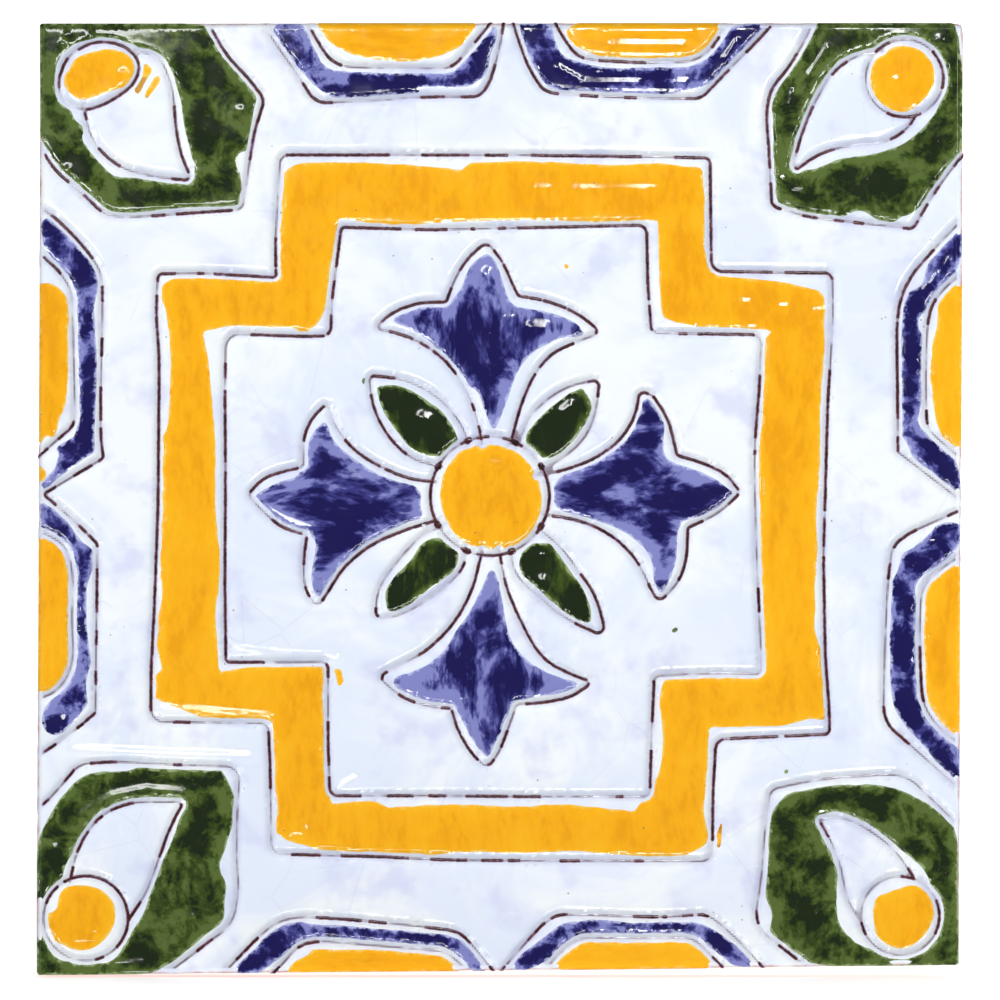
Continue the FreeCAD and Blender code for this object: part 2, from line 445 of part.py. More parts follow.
relief("corner_se_outer", [
    (54.6, -39.6), (51.4, -36.6), (48.8, -34.1), (46.1, -31.5), (42, -31.6), (36, -32.0), (30.7, -33.2, 1.2),
    (30.0, -38), (29.7, -43), (29.0, -47.4), (29.6, -49.2), (31.7, -50.9), (34.0, -52.7), (38.4, -55.6)],
    closed=False)
relief_circle("corner_se_disc", (45.4, -47.5), 4.45)
relief("corner_se_drop", [
    (41.2, -48.6), (39.3, -45.6), (38.6, -41.4), (37.3, -38.5), (36.1, -36.5, 0.3), (39.4, -36.4),
    (42.4, -38.1), (44.9, -40.1), (47.0, -43.2)], closed=False)

brushed("corner_ring_nw", [
    (-52.3, 53.8, 0.2), (-35, 53.8), (-33.0, 53.4, 0.4), (-32.0, 51.4), (-29.6, 48.4), (-27.6, 45.6, 0.8),
    (-28.4, 41.4), (-28.6, 39.3, 0.3), (-29.6, 39.2), (-29.9, 38.4), (-29.2, 35.0), (-29.4, 32.8, 0.4),
    (-34, 33.0), (-38.9, 32.6), (-42, 31.9), (-44.6, 31.8), (-47.0, 33.7), (-48.5, 35.6), (-51.6, 38.8),
    (-52.2, 40.4)],
    [[(-50.2, 49.8), (-50.6, 47.0), (-50.3, 44.9), (-48.6, 43.9), (-48.4, 42.8), (-47.0, 41.9),
      (-47.6, 40.6), (-45.6, 38.0), (-43.7, 36.2), (-40.5, 36.3), (-34.9, 36.1, 0.4), (-34.6, 37.4),
      (-35.9, 42.0), (-36.3, 45.8), (-37.8, 49.0), (-38.9, 50.3), (-41.3, 51.2), (-44.6, 52.4),
      (-48.6, 51.4)]])
brushed("corner_disc_nw", [
    (-49.0, 48.4), (-48.2, 49.9), (-44.6, 51.0), (-42.4, 50.4), (-40.8, 48.8), (-41.2, 47.0),
    (-42.6, 46.6), (-45.4, 45.6), (-47.8, 44.9), (-49.4, 46.4), (-49.5, 47.6)])
brushed("corner_disc_nw", [
    (-40.3, 49.3, 0.2), (-39.4, 48.5, 0.2), (-41.2, 45.5, 0.2), (-41.6, 46.4, 0.2)])
brushed("corner_disc_nw", [
    (-38.9, 48.1, 0.2), (-38.5, 47.2, 0.2), (-40.2, 44.9, 0.2), (-40.3, 45.8, 0.2)])
brushed("corner_ring_ne", [
    (35.6, 53.85, 0.3), (51.6, 53.85, 0.4), (52.1, 52), (52.55, 48.0), (52.5, 39.4, 0.3), (51.0, 37.6),
    (49.5, 35.4), (48.2, 33.4), (46.6, 32.0), (45.4, 31.8), (44.6, 30.8), (43.4, 30.9), (41.4, 32.5),
    (40.0, 32.5), (38.6, 31.4), (36, 32.2), (33.5, 32.3), (31.6, 32.9), (31.0, 36.0), (31.0, 42.6),
    (30.7, 45.8), (33.4, 49.6), (34.8, 52.4)],
    [[(33.2, 36.9, 0.4), (33.2, 39.4), (35.0, 44.3), (36.8, 46.8), (38.2, 49.7), (40.8, 50.4),
      (44.4, 51.6), (46.8, 51.9), (49.2, 51.2), (50.4, 48.4), (49.9, 44.2), (48.2, 42.0), (46.2, 40.2),
      (42.8, 38.9), (38.4, 38.4), (36.0, 37.2)]])
brushed("corner_disc_ne", [
    (42.1, 49.2), (44.6, 51.2), (47.2, 51.2), (49.2, 49.4), (49.5, 47.0), (48.2, 45.1), (46.4, 43.7),
    (44.6, 43.7), (42.4, 45.0), (41.7, 47.0)])
brushed("corner_ring_sw", [
    (-52.6, -54.3, 0.2), (-39.8, -54.2), (-37.2, -52.9), (-33.4, -49.7), (-31.2, -48.0), (-31.3, -46.2),
    (-31.0, -43.8), (-32.0, -42.2), (-30.9, -39.0), (-29.9, -35.4), (-30.4, -33.0), (-31.8, -30.7, 0.5),
    (-35.4, -30.7), (-40.4, -30.3), (-42.0, -31.1), (-46.8, -31.2), (-49.4, -33.4), (-51.4, -36.6),
    (-52.6, -39.4)],
    [[(-47.6, -39.0), (-46.6, -36.8), (-45.2, -35.4), (-41.6, -34.6), (-36.0, -34.6, 0.4),
      (-36.6, -37.4), (-38.0, -40.8), (-39.6, -43.4), (-40.2, -47.0), (-42.4, -50.4), (-43.9, -53.0),
      (-47.2, -52.8), (-50.4, -52.6), (-51.7, -50.6), (-51.4, -46.6), (-49.8, -44.2), (-49.5, -42.0)]])
brushed("corner_disc_sw", [
    (-50.0, -44.4), (-47.2, -43.9), (-44.6, -44.8), (-43.4, -47.0), (-44.1, -49.4), (-45.8, -51.2),
    (-48.2, -51.6), (-51.2, -50.0), (-51.5, -47.3, 0.4), (-50.3, -47.0)])
brushed("corner_ring_se", [
    (52.1, -53.15, 0.2), (52.0, -45), (52.0, -39.2), (51.4, -37.0), (49.0, -35.0), (45.4, -33.2),
    (42.8, -32.6), (37.4, -32.7), (34.2, -33.4), (32.8, -33.5), (31.0, -35.4), (30.4, -37.2), (30.5, -41.6),
    (30.0, -45.4), (31.1, -47.4), (30.4, -49.6), (31.8, -50.9), (34.0, -52.7), (37.8, -53.3, 0.4)],
    [[(36.1, -36.4), (37.8, -35.5), (40.4, -36.3), (42.4, -37.8), (44.6, -39.6), (46.6, -40.8),
      (48.5, -42.6), (49.2, -45.6), (49.7, -47.6), (48.5, -50.6), (46.0, -51.9), (42.8, -51.6),
      (40.2, -50.6), (38.4, -48.6), (38.1, -45.6), (38.4, -42.8), (37.6, -40.4), (36.2, -38.0)]])
brushed("corner_disc_se", [
    (42.6, -45.3), (45.0, -44.6), (47.2, -43.8), (49.0, -45.2), (49.5, -47.2), (48.2, -50.0),
    (46.0, -51.4), (44.2, -51.0), (42.6, -49.8), (42.3, -47.2)])

inked("line_corner_nw", "corner_nw_outer",
      ((-32.7, 52.9), (-28.3, 38.3)), ((-30.4, 32.5), (-36.6, 32.2)), ((-38.0, 32.1), (-39.4, 32.0)),
      ((-45.4, 32.3), (-47.2, 34.2)), ((-48.9, 35.8), (-51.6, 38.8)))
inked("line_corner_nw", "corner_nw_disc",
      ((-50.2, 46.4), (-49.2, 49.9)), ((-47.9, 50.9), (-47.0, 43.8)))
inked("line_corner_nw", "corner_nw_drop",
      ((-36.9, 44.4), (-35.2, 36.9)), ((-35.3, 36.1), (-37.2, 36.2)), ((-43.2, 37.4), (-45.6, 39.4)),
      ((-47.1, 43.6), (-47.1, 42.8)))
inked("line_corner_ne", "corner_ne_outer",
      ((33.5, 50.3), (30.6, 37.4)), ((30.8, 35.6), (31.8, 32.6)), ((34.4, 31.9), (35.9, 31.6)),
      ((38.0, 31.4), (38.9, 31.3)), ((40.2, 31.1), (41.2, 31.0)), ((45.8, 30.6), (47.2, 31.4)),
      ((47.6, 32.0), (48.4, 33.2)), ((49.2, 34.5), (49.8, 35.2)), ((51.4, 37.5), (52.6, 38.8)))
inked("line_corner_ne", "corner_ne_disc",
      ((42.7, 50.5), (44.2, 51.5)), ((49.2, 50.6), (50.1, 46.4)), ((47.6, 43.5), (44.0, 43.6)))
inked("line_corner_ne", "corner_ne_drop",
      ((39.3, 49.5), (37.6, 48.0)), ((35.4, 44.3), (33.7, 39.2)), ((33.3, 37.0), (37.9, 39.5)),
      ((44.4, 40.5), (45.9, 41.4)), ((46.6, 42.3), (47.2, 43.2)))
inked("line_corner_sw", "corner_sw_outer",
      ((-51.8, -34.9), (-51.1, -34.4)), ((-49.4, -32.3), (-48.3, -31.0)), ((-46.4, -30.1), (-43.6, -30.0)),
      ((-37.0, -30.4), (-36.1, -30.4)), ((-32.7, -50.2), (-34.4, -51.5)))
inked("line_corner_sw", "corner_sw_disc",
      ((-49.4, -43.6), (-43.5, -51.1)), ((-45.0, -52.2), (-45.8, -52.5)), ((-51.4, -46.2), (-50.2, -44.3)))
inked("line_corner_sw", "corner_sw_drop",
      ((-48.7, -43.2), (-48.6, -42.0)), ((-47.9, -40.2), (-46.7, -38.0)), ((-45.9, -37.0), (-45.2, -36.2)),
      ((-44.1, -35.5), (-41.6, -34.6)), ((-36.3, -34.9), (-38.6, -40.8)), ((-40.7, -46.0), (-42.2, -48.0)))
inked("line_corner_se", "corner_se_outer", ((29.1, -46.9), (29.2, -48.4)), ((31.7, -50.9), (33.6, -52.4)))
inked("line_corner_se", "corner_se_disc",
      ((45.6, -43.0), (47.0, -43.3)), ((49.5, -45.8), (49.4, -49.5)), ((41.5, -49.6), (41.0, -48.4)))
inked("line_corner_se", "corner_se_drop", ((37.3, -38.5), (36.4, -37.0)), ((46.4, -42.1), (46.9, -43.0)))


# ---- Eight half octagons on the edges: a yellow panel in a blue bracket ------------------

relief("top_left_outer", [
    (-28.4, 56.0), (-25.4, 51.3), (-23.0, 48.0), (-21.4, 45.4), (-20.3, 44.7), (-15, 44.9), (-8.6, 45.4),
    (-2.3, 45.4), (-1.2, 46.9), (-0.5, 49.2), (0.1, 51.6), (0.7, 56.0)], closed=False)
relief("top_left_inner", [
    (-23.0, 56.0), (-21.0, 52.2), (-19.4, 49.7), (-17.8, 48.8), (-12, 48.6), (-5.6, 48.6), (-4.0, 50.2),
    (-2.3, 52.2), (0.6, 56.0)], closed=False)
relief("top_right_outer", [
    (0.8, 56.0), (2.3, 51.2), (3.3, 48.6), (4.9, 46.1), (6.6, 45.7), (12, 45.4), (18, 45.2), (22.8, 45.2),
    (24.0, 46.4), (26.0, 48.5), (29.2, 51.7), (32.8, 55.8)], closed=False)
relief("top_right_inner", [
    (5.2, 56.0), (7.2, 52.0), (8.9, 49.8), (11.4, 49.5), (17, 49.2), (21.8, 49.4), (23.6, 50.4),
    (25.0, 52.3), (27.2, 56.0)], closed=False)
relief("left_upper_outer", [
    (-54.8, 34.6), (-50.7, 31.9), (-48.3, 29.6), (-46.4, 27.4), (-45.1, 25.2), (-45.1, 20), (-45.3, 12),
    (-45.3, 7), (-45.0, 4.4, 0.5), (-48.0, 2.6), (-51.8, 0.3, 0.2), (-48.4, -2.6), (-45.7, -5.3, 0.6),
    (-45.7, -10), (-45.8, -16), (-45.9, -24.5, 0.6), (-48.6, -26.8), (-51.5, -28.8), (-54.8, -31.0)],
    closed=False)
relief("left_upper_inner", [
    (-54.8, 29.6), (-51.6, 27.1), (-49.8, 25.4), (-48.5, 23.2), (-48.4, 17), (-48.2, 10), (-48.3, 8.1),
    (-50.2, 6.5), (-54.8, 2.4)], closed=False)
relief("left_lower_inner", [
    (-54.8, -3.3), (-51.0, -4.3), (-49.0, -5.9), (-48.4, -9), (-48.6, -14), (-48.4, -18), (-48.9, -20.3),
    (-50.6, -22.4), (-54.8, -23.4)], closed=False)
relief("right_upper_outer", [
    (54.8, 33.8), (51.3, 30.3), (48.9, 27.7), (46.6, 25.1), (45.3, 22.2), (45.0, 19), (45.1, 12),
    (45.15, 5.1, 0.5), (47.6, 3.2), (51.5, 0.2), (54.8, -2.4)], closed=False)
relief("right_upper_inner", [
    (54.8, 27.2), (50.6, 23.9), (49.0, 21.9), (48.5, 19.6), (48.3, 14), (48.4, 7.8), (50.6, 5.8),
    (54.8, 2.2)], closed=False)
relief("right_lower_outer", [
    (54.8, -0.4), (50.2, -2.4), (46.4, -4.1), (44.5, -5.6), (44.0, -9.6), (43.7, -16), (43.5, -24.4),
    (44.2, -26.1), (46.4, -28.0), (50.2, -31.4), (54.8, -35.4)], closed=False)
relief("right_lower_inner", [
    (54.8, -5.2), (50.6, -7.7), (47.9, -9.9), (47.6, -14), (47.7, -20), (48.0, -23.8), (50.2, -26.6),
    (54.8, -29.8)], closed=False)
relief("bottom_left_outer", [
    (-33.0, -55.8), (-29.8, -52.4), (-27.4, -49.9), (-25.2, -48.1), (-22.4, -47.6), (-16.4, -48.0),
    (-9.2, -48.7), (-4.6, -49.3), (-2.8, -51.2), (0.8, -55.8)], closed=False)
relief("bottom_left_inner", [
    (-28.0, -56.0), (-25.0, -53.4), (-22.9, -50.9), (-20.6, -50.35), (-14, -50.9), (-6.6, -51.5),
    (-4.9, -52.5), (-2.0, -56.0)], closed=False)
relief("bottom_right_outer", [
    (-1.6, -55.8), (2.0, -51.6), (4.9, -48.4), (6.6, -47.35), (12, -47.5), (18.6, -47.7), (23.4, -47.3),
    (25.2, -48.6), (28.2, -51.4), (31.6, -55.6)], closed=False)
relief("bottom_right_inner", [
    (3.2, -55.8), (7.2, -51.3), (9.2, -50.0), (15, -50.05), (21.8, -50.0), (23.4, -51.4), (27.4, -55.6)],
    closed=False)

brushed("bracket_top_left", [
    (-25.9, 53.0), (-25.2, 53.8, 0.3), (-22.1, 53.7, 0.4), (-21.4, 51.4), (-20.0, 48.9), (-18.6, 48.3),
    (-14, 48.5), (-9, 48.4), (-5.2, 48.2, 0.5), (-3.8, 50.4), (-1.2, 53.2), (-0.4, 53.5, 0.3), (-0.3, 52.0),
    (-1.0, 50.6), (-1.4, 48.2), (-2.8, 46.8), (-5.2, 46.4), (-9.0, 46.6, 0.3), (-9.4, 45.3, 0.2),
    (-14, 45.2), (-18.4, 45.0), (-20.6, 46.2), (-22.6, 48.4), (-24.6, 50.6)])
brushed("panel_top_left", [
    (-21.0, 53.85, 0.2), (-20.2, 52.8), (-19.4, 51.6), (-17.2, 50.3), (-14, 49.6), (-10, 49.3),
    (-6.4, 50.2), (-4.2, 51.2), (-2.5, 53.85, 0.2)])
brushed("bracket_top_right", [
    (1.8, 53.8, 0.3), (5.8, 53.8, 0.3), (6.4, 51.2), (7.2, 50.0), (9.4, 49.2), (13, 48.6), (17, 48.8),
    (21.6, 49.2), (23.4, 50.2), (24.8, 52.2), (26.2, 53.3), (28.2, 53.8, 0.3), (30.8, 53.7, 0.3),
    (28.4, 51.0), (26.4, 49.0), (23.4, 46.6), (21.4, 46.3), (18.6, 45.4), (14, 45.6), (7.2, 45.9),
    (5.0, 46.8), (3.4, 49.2), (2.6, 51.4)])
brushed("panel_top_right", [
    (8.6, 53.85, 0.4), (7.4, 52.8), (7.4, 51.6), (9.6, 50.7), (11.6, 49.9), (14, 49.7), (17, 49.8),
    (20.6, 49.8), (23.4, 50.6), (24.6, 52.2), (25.3, 53.85, 0.3)])
brushed("bracket_left_upper", [
    (-52.2, 31.2), (-51.3, 31.8), (-49.6, 30.2), (-47.4, 28.4), (-45.6, 26.6), (-45.1, 25.2, 0.4),
    (-45.4, 24.2), (-46.1, 22.0), (-45.9, 18), (-45.6, 14), (-46.0, 9), (-46.0, 5.0), (-47.2, 4.4),
    (-49.8, 2.4), (-52.0, 0.6, 0.3), (-52.2, 1.4, 0.2), (-50.4, 3.4), (-50.0, 4.9), (-50.6, 5.6),
    (-49.4, 6.3), (-48.1, 7.0), (-48.0, 9), (-48.3, 14), (-48.3, 21), (-48.4, 24.2), (-49.4, 25.4),
    (-51.8, 28.2)])
brushed("panel_left_upper", [
    (-52.3, 24.2, 0.2), (-50.9, 24.3), (-49.2, 23.0), (-48.9, 21.4), (-49.1, 17.8), (-48.9, 14.8),
    (-49.3, 10.4), (-50.1, 8.6), (-50.6, 6.4), (-51.4, 7.2), (-52.4, 5.6, 0.2)])
brushed("panel_left_upper", [(-52.4, 3.8, 0.2), (-51.4, 2.8), (-51.7, 1.9), (-52.4, 1.6, 0.2)])
brushed("bracket_left_lower", [
    (-52.3, -0.2, 0.3), (-51.0, -1.2), (-49.4, -2.2), (-47.9, -4.7), (-46.0, -6.2), (-45.9, -7.6),
    (-46.8, -9.4), (-47.0, -13), (-46.8, -16.4), (-46.3, -18.4), (-47.0, -21.0), (-46.9, -22.6),
    (-46.7, -23.4), (-48.4, -25.6), (-49.8, -27.0), (-51.4, -27.0), (-52.2, -25.4), (-51.3, -23.2),
    (-49.8, -22.2), (-48.6, -20.2), (-48.3, -18), (-48.5, -13), (-48.4, -8), (-48.7, -6.2), (-50.4, -4.7),
    (-52.1, -3.8, 0.3)])
brushed("panel_left_lower", [
    (-52.4, -4.2, 0.2), (-50.8, -4.4), (-49.0, -6.0), (-48.5, -8.4), (-48.6, -13), (-48.6, -18.4),
    (-49.4, -21.0), (-50.8, -22.1), (-52.5, -22.6, 0.2)])
brushed("bracket_right_upper", [
    (52.5, 31.4, 0.2), (51.2, 29.4), (49.2, 27.8), (48.2, 25.6), (48.0, 23.9), (46.4, 23.4), (45.6, 22.0),
    (45.2, 19), (45.2, 13), (45.2, 7.6), (46.4, 5.8), (46.8, 4.4), (48.4, 2.6), (50.8, 0.4),
    (52.3, -0.4, 0.2), (52.3, 2.0), (51.8, 4.2), (50.4, 5.6), (48.4, 7.2), (47.3, 8.4), (48.2, 12.0),
    (48.3, 15), (48.2, 17.6), (47.4, 19.6), (47.6, 20.6), (48.8, 21.2), (50.0, 23.2), (51.8, 25.4),
    (52.5, 27.6, 0.2)])
brushed("panel_right_upper", [
    (52.5, 25.0, 0.2), (50.8, 24.0), (49.6, 22.6), (49.8, 20.2), (49.2, 18.0), (48.8, 14.6), (49.0, 11.6),
    (49.6, 8.0), (50.6, 6.2), (52.4, 4.6, 0.2)])
brushed("bracket_right_lower", [
    (52.3, -3.2, 0.2), (51.4, -2.8), (49.8, -2.9), (48.4, -4.6), (46.8, -5.8), (45.6, -6.4), (45.3, -8.0),
    (44.4, -9.8), (44.1, -12), (44.2, -16), (44.3, -21), (44.6, -23.6), (45.6, -25.6), (47.4, -27.4),
    (49.6, -30.2), (51.0, -31.9, 0.4), (52.2, -32.0, 0.2), (52.2, -28.2, 0.3), (50.4, -26.9),
    (48.6, -25.2), (47.7, -23.2), (47.7, -19), (47.3, -16.4), (47.4, -13), (47.0, -10.0), (48.2, -8.7),
    (50.4, -7.4), (51.6, -6.2), (52.3, -5.0, 0.2)])
brushed("panel_right_lower", [
    (52.3, -6.4, 0.2), (50.6, -7.6), (48.2, -9.6), (48.4, -11.6), (47.7, -12.8), (47.8, -16), (47.9, -21),
    (48.6, -24.0), (50.4, -26.5), (52.2, -27.6, 0.2)])
brushed("bracket_bottom_left", [
    (-30.9, -53.7, 0.3), (-29.0, -52.4), (-27.0, -50.4), (-25.6, -48.5), (-23.2, -47.9), (-21.6, -48.5),
    (-17.6, -48.6), (-13, -49.1), (-10.0, -49.3), (-5.6, -49.7), (-3.2, -51.0), (-1.2, -53.8, 0.3),
    (-3.3, -53.85, 0.3), (-4.7, -52.2), (-7.4, -51.2), (-13, -51.0), (-18.4, -50.4), (-21.0, -50.0),
    (-23.0, -50.7), (-25.0, -52.4), (-27.4, -54.05, 0.3), (-29.8, -54.1, 0.3)])
brushed("panel_bottom_left", [
    (-24.3, -54.0, 0.2), (-23.4, -52.7), (-21.7, -52.0), (-21.4, -51.3), (-18.4, -51.4), (-12, -51.2),
    (-8.4, -51.7), (-4.9, -52.4), (-4.1, -53.2), (-4.6, -53.85, 0.2)])
brushed("bracket_bottom_right", [
    (0.6, -53.3, 0.3), (2.6, -51.7), (5.0, -50.0), (6.8, -48.4), (9.4, -48.1), (11.2, -47.7), (13.6, -48.2),
    (15.4, -48.4), (18, -48.2), (22.8, -48.3), (24.8, -49.4), (27.2, -51.2), (29.1, -53.1, 0.3),
    (28.6, -53.45, 0.3), (26.4, -53.2), (25.0, -52.0), (23.4, -50.8), (21.8, -49.9), (18, -49.9),
    (12, -49.8), (9.0, -50.0), (7.0, -51.2), (5.0, -52.9), (3.0, -53.7, 0.3), (1.0, -53.7, 0.3)])
brushed("panel_bottom_right", [
    (6.1, -53.0), (7.2, -51.4), (9.4, -50.3), (13, -50.4), (17, -50.6), (20.4, -50.4), (22.8, -51.0),
    (24.0, -52.6), (23.6, -53.55, 0.3), (15, -53.65), (6.8, -53.7, 0.3)])

inked("line_edge_top", "top_left_outer",
      ((-22.2, 47.0), (-19.0, 44.7)), ((-8.9, 45.4), (-6.4, 45.4)), ((-4.4, 45.4), (-0.5, 49.0)),
      ((0.3, 52.6), (0.5, 53.8)))
inked("line_edge_top", "top_left_inner",
      ((-21.4, 52.8), (-18.1, 48.9)), ((-5.5, 48.7), (-4.4, 49.7)), ((-2.8, 51.6), (-1.0, 53.8)))
inked("line_edge_top", "top_right_outer",
      ((1.4, 53.8), (6.5, 45.7)), ((9.2, 45.6), (11.0, 45.4)), ((14.2, 45.3), (15.4, 45.3)),
      ((21.2, 45.2), (25.9, 48.4)), ((28.0, 50.5), (30.6, 53.3)))
inked("line_edge_top", "top_right_inner",
      ((6.2, 53.9), (9.4, 49.7)), ((11.3, 49.5), (16.4, 49.2)), ((24.1, 51.0), (24.9, 52.1)))
inked("line_edge_left", "left_upper_outer",
      ((-50.8, 31.9), (-46.2, 27.1)), ((-45.1, 23.8), (-45.1, 22.2)), ((-45.2, 18.0), (-45.2, 16.0)),
      ((-45.3, 12.4), (-45.3, 8.8)), ((-45.3, 7.8), (-45.6, 4.2)), ((-46.4, 3.7), (-48.4, 2.4)),
      ((-50.4, 1.1), (-50.4, -0.8)), ((-47.7, -3.3), (-47.0, -4.0)), ((-46.6, -4.4), (-45.8, -5.5)),
      ((-45.7, -8.2), (-45.7, -13.0)), ((-45.8, -15.2), (-45.8, -16.8)), ((-45.9, -19.8), (-45.9, -21.2)),
      ((-46.0, -24.5), (-47.0, -25.6)), ((-47.2, -25.8), (-47.8, -26.3)), ((-50.5, -28.1), (-51.7, -28.9)))
inked("line_edge_left", "left_upper_inner",
      ((-51.7, 27.2), (-49.8, 25.4)), ((-48.2, 8.5), (-50.1, 6.6)), ((-51.4, 5.5), (-52.4, 4.6)))
inked("line_edge_right", "right_upper_outer",
      ((49.2, 28.0), (48.0, 26.6)), ((47.8, 26.4), (45.1, 20.4)), ((45.05, 19.8), (45.1, 9.0)),
      ((45.1, 6.8), (45.2, 5.2)))
inked("line_edge_right", "right_upper_inner",
      ((49.4, 22.4), (48.6, 19.6)), ((48.4, 9.8), (48.4, 8.3)))
inked("line_edge_right", "right_lower_outer",
      ((47.2, -3.8), (44.6, -5.6)), ((44.1, -7.6), (44.0, -9.2)), ((43.5, -23.8), (45.0, -26.8)),
      ((45.1, -26.9), (46.4, -28.0)), ((51.5, -0.9), (50.6, -1.6)))
inked("line_edge_right", "right_lower_inner", ((47.7, -17.0), (47.9, -23.2)))
inked("line_edge_bottom", "bottom_left_outer",
      ((-29.9, -52.5), (-27.5, -50.0)), ((-20.8, -47.7), (-15.8, -48.1)), ((-14.8, -48.2), (-13.0, -48.3)),
      ((-8.4, -48.8), (-4.2, -49.7)), ((-4.0, -49.8), (-3.4, -50.5)), ((-0.8, -53.1), (-0.2, -53.8)))
inked("line_edge_bottom", "bottom_left_inner",
      ((-26.0, -54.2), (-25.0, -53.3)), ((-23.0, -51.0), (-20.6, -50.35)))
inked("line_edge_bottom", "bottom_right_outer",
      ((0.1, -53.8), (0.5, -53.3)), ((3.2, -50.3), (5.0, -48.3)), ((5.8, -47.8), (7.6, -47.4)),
      ((15.2, -47.6), (17.8, -47.65)), ((18.5, -47.7), (18.9, -47.7)), ((20.8, -47.5), (21.8, -47.4)),
      ((22.5, -47.4), (23.6, -47.4)), ((29.4, -52.9), (29.9, -53.5)))
inked("line_edge_bottom", "bottom_right_inner", ((24.2, -52.2), (25.2, -53.3)))


# ---- Stray touches of the brush ----------------------------------------------------------

brushed("dabs_yellow", [(-18.9, -19.4, 0.4), (-18.0, -19.6, 0.4), (-17.7, -20.9, 0.4), (-18.3, -21.7, 0.3)])
brushed("dabs_yellow", [(7.2, 26.4, 0.2), (7.6, 26.5, 0.2), (7.85, 26.1, 0.2), (7.5, 25.8, 0.2)])
brushed("dabs_yellow", [(24.3, -39.8, 0.2), (24.6, -38.2), (25.1, -36.9, 0.2), (25.3, -37.2, 0.2),
                        (25.0, -39.8, 0.2)])
brushed("dabs_green", [(-15.8, 13.2, 0.3), (-15.4, 13.6, 0.3), (-14.6, 13.1, 0.3), (-15.2, 12.5, 0.3)])
brushed("dabs_green", [(19.4, -15.2, 0.2), (20.0, -14.7, 0.2), (20.3, -15.1, 0.2), (19.7, -15.5, 0.2)])
brushed("dabs_green", [(32.2, -31.1, 0.2), (32.6, -30.8, 0.2), (32.8, -31.3, 0.2), (32.3, -31.5, 0.2)])


# ---- Solids ------------------------------------------------------------------------------

FACE = [TOP_LEFT + (0.3,), TOP_RIGHT + (0.3,), BOTTOM_RIGHT + (0.3,), BOTTOM_LEFT + (0.3,)]


def all_crests(width, height):
    """Every raised line as one solid, cut off where the lines run past the face."""
    strips = [band(stretches, closed, width, height) for stretches, closed in RELIEF.values()]
    crests = strips[0].multiFuse(strips[1:])
    return crests.common(plate(FACE, height))


def back_keys():
    """Rows of shallow pockets, each with land all round it."""
    pockets = []
    for column in range(KEY_COLUMNS):
        for row in range(KEY_ROWS):
            if column == KEY_COLUMNS // 2 and row == KEY_ROWS // 2:
                continue
            x = (column - (KEY_COLUMNS - 1) / 2) * KEY_PITCH_X - KEY_WIDTH / 2
            y = (row - (KEY_ROWS - 1) / 2) * KEY_PITCH_Y - KEY_HEIGHT / 2
            pockets.append(Part.makeBox(KEY_WIDTH, KEY_HEIGHT, KEY_DEPTH, FreeCAD.Vector(x, y, 0)))
    return pockets


def clay_body():
    crests = raised(all_crests(CREST_WIDTH, CREST_HEIGHT), CLAY_THICKNESS)
    body = plate(FACE, CLAY_THICKNESS).fuse(crests)
    return body.cut(Part.makeCompound(back_keys()))


def glaze_with_crests():
    """Space taken by clay crests and glaze together, above the clay of the fields."""
    coat = plate(FACE, GLAZE_THICKNESS)
    crests = all_crests(COATED_WIDTH, CREST_HEIGHT + CREST_COAT)
    return raised(coat.fuse(crests), CLAY_THICKNESS)


def brushed_colour(name, covered):
    """One brushed colour lying on the glaze between the crests."""
    patches = []
    for outline, holes in BRUSHED[name]:
        patch = plate(outline, COLOUR_THICKNESS)
        for hole in holes:
            patch = patch.cut(plate(hole, COLOUR_THICKNESS))
        patches.append(patch)
    colour = patches[0].multiFuse(patches[1:]) if len(patches) > 1 else patches[0]
    colour = colour.common(plate(FACE, COLOUR_THICKNESS))
    return raised(colour, FIELD_TOP).cut(covered)


def manganese_line(name):
    """Dark strokes along the crests."""
    strokes = [band(stroke, False, LINE_WIDTH, LINE_THICKNESS) for stroke in INKED[name]]
    strokes += [band(blot, False, BLOT_WIDTH, LINE_THICKNESS) for blot in BLOTS.get(name, [])]
    line = strokes[0].multiFuse(strokes[1:]) if len(strokes) > 1 else strokes[0]
    return raised(line.common(plate(FACE, LINE_THICKNESS)), CREST_TOP)


def turned_upright(shape):
    """From the drawing plane to the tile's own frame: face towards -Y, up is +Z."""
    shape.rotate(FreeCAD.Vector(0, 0, 0), FreeCAD.Vector(1, 0, 0), 90)
    return shape


def save(name, shape):
    solids = shape.Solids
    shape = solids[0] if len(solids) == 1 else Part.makeCompound(solids)
    turned_upright(shape).exportStep("parts/" + name + ".step")


os.makedirs("parts", exist_ok=True)
clay = clay_body()
covered = glaze_with_crests()
save("white_glaze", covered.cut(clay))
wet = []
for name in BRUSHED:
    colour = brushed_colour(name, covered)
    for earlier in wet:
        if colour.BoundBox.intersect(earlier.BoundBox):
            colour = colour.cut(earlier)
    wet.append(colour)
    save(name, colour.copy())
for name in INKED:
    save(name, manganese_line(name))
save("clay_body", clay)
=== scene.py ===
"""Looks of a hand-made glazed relief tile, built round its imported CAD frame.

The raised lines, the brushed colours and the dark lines are read from the CAD nodes, so the
drawing of the tile is kept in one place. Lengths in this script are millimetres and become
metres where a mesh is written. The face looks towards -Y, and depth is counted from the
back of the tile towards the viewer.
"""
import math
from collections import Counter

import bpy
import numpy as np
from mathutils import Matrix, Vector, geometry
from mathutils.kdtree import KDTree


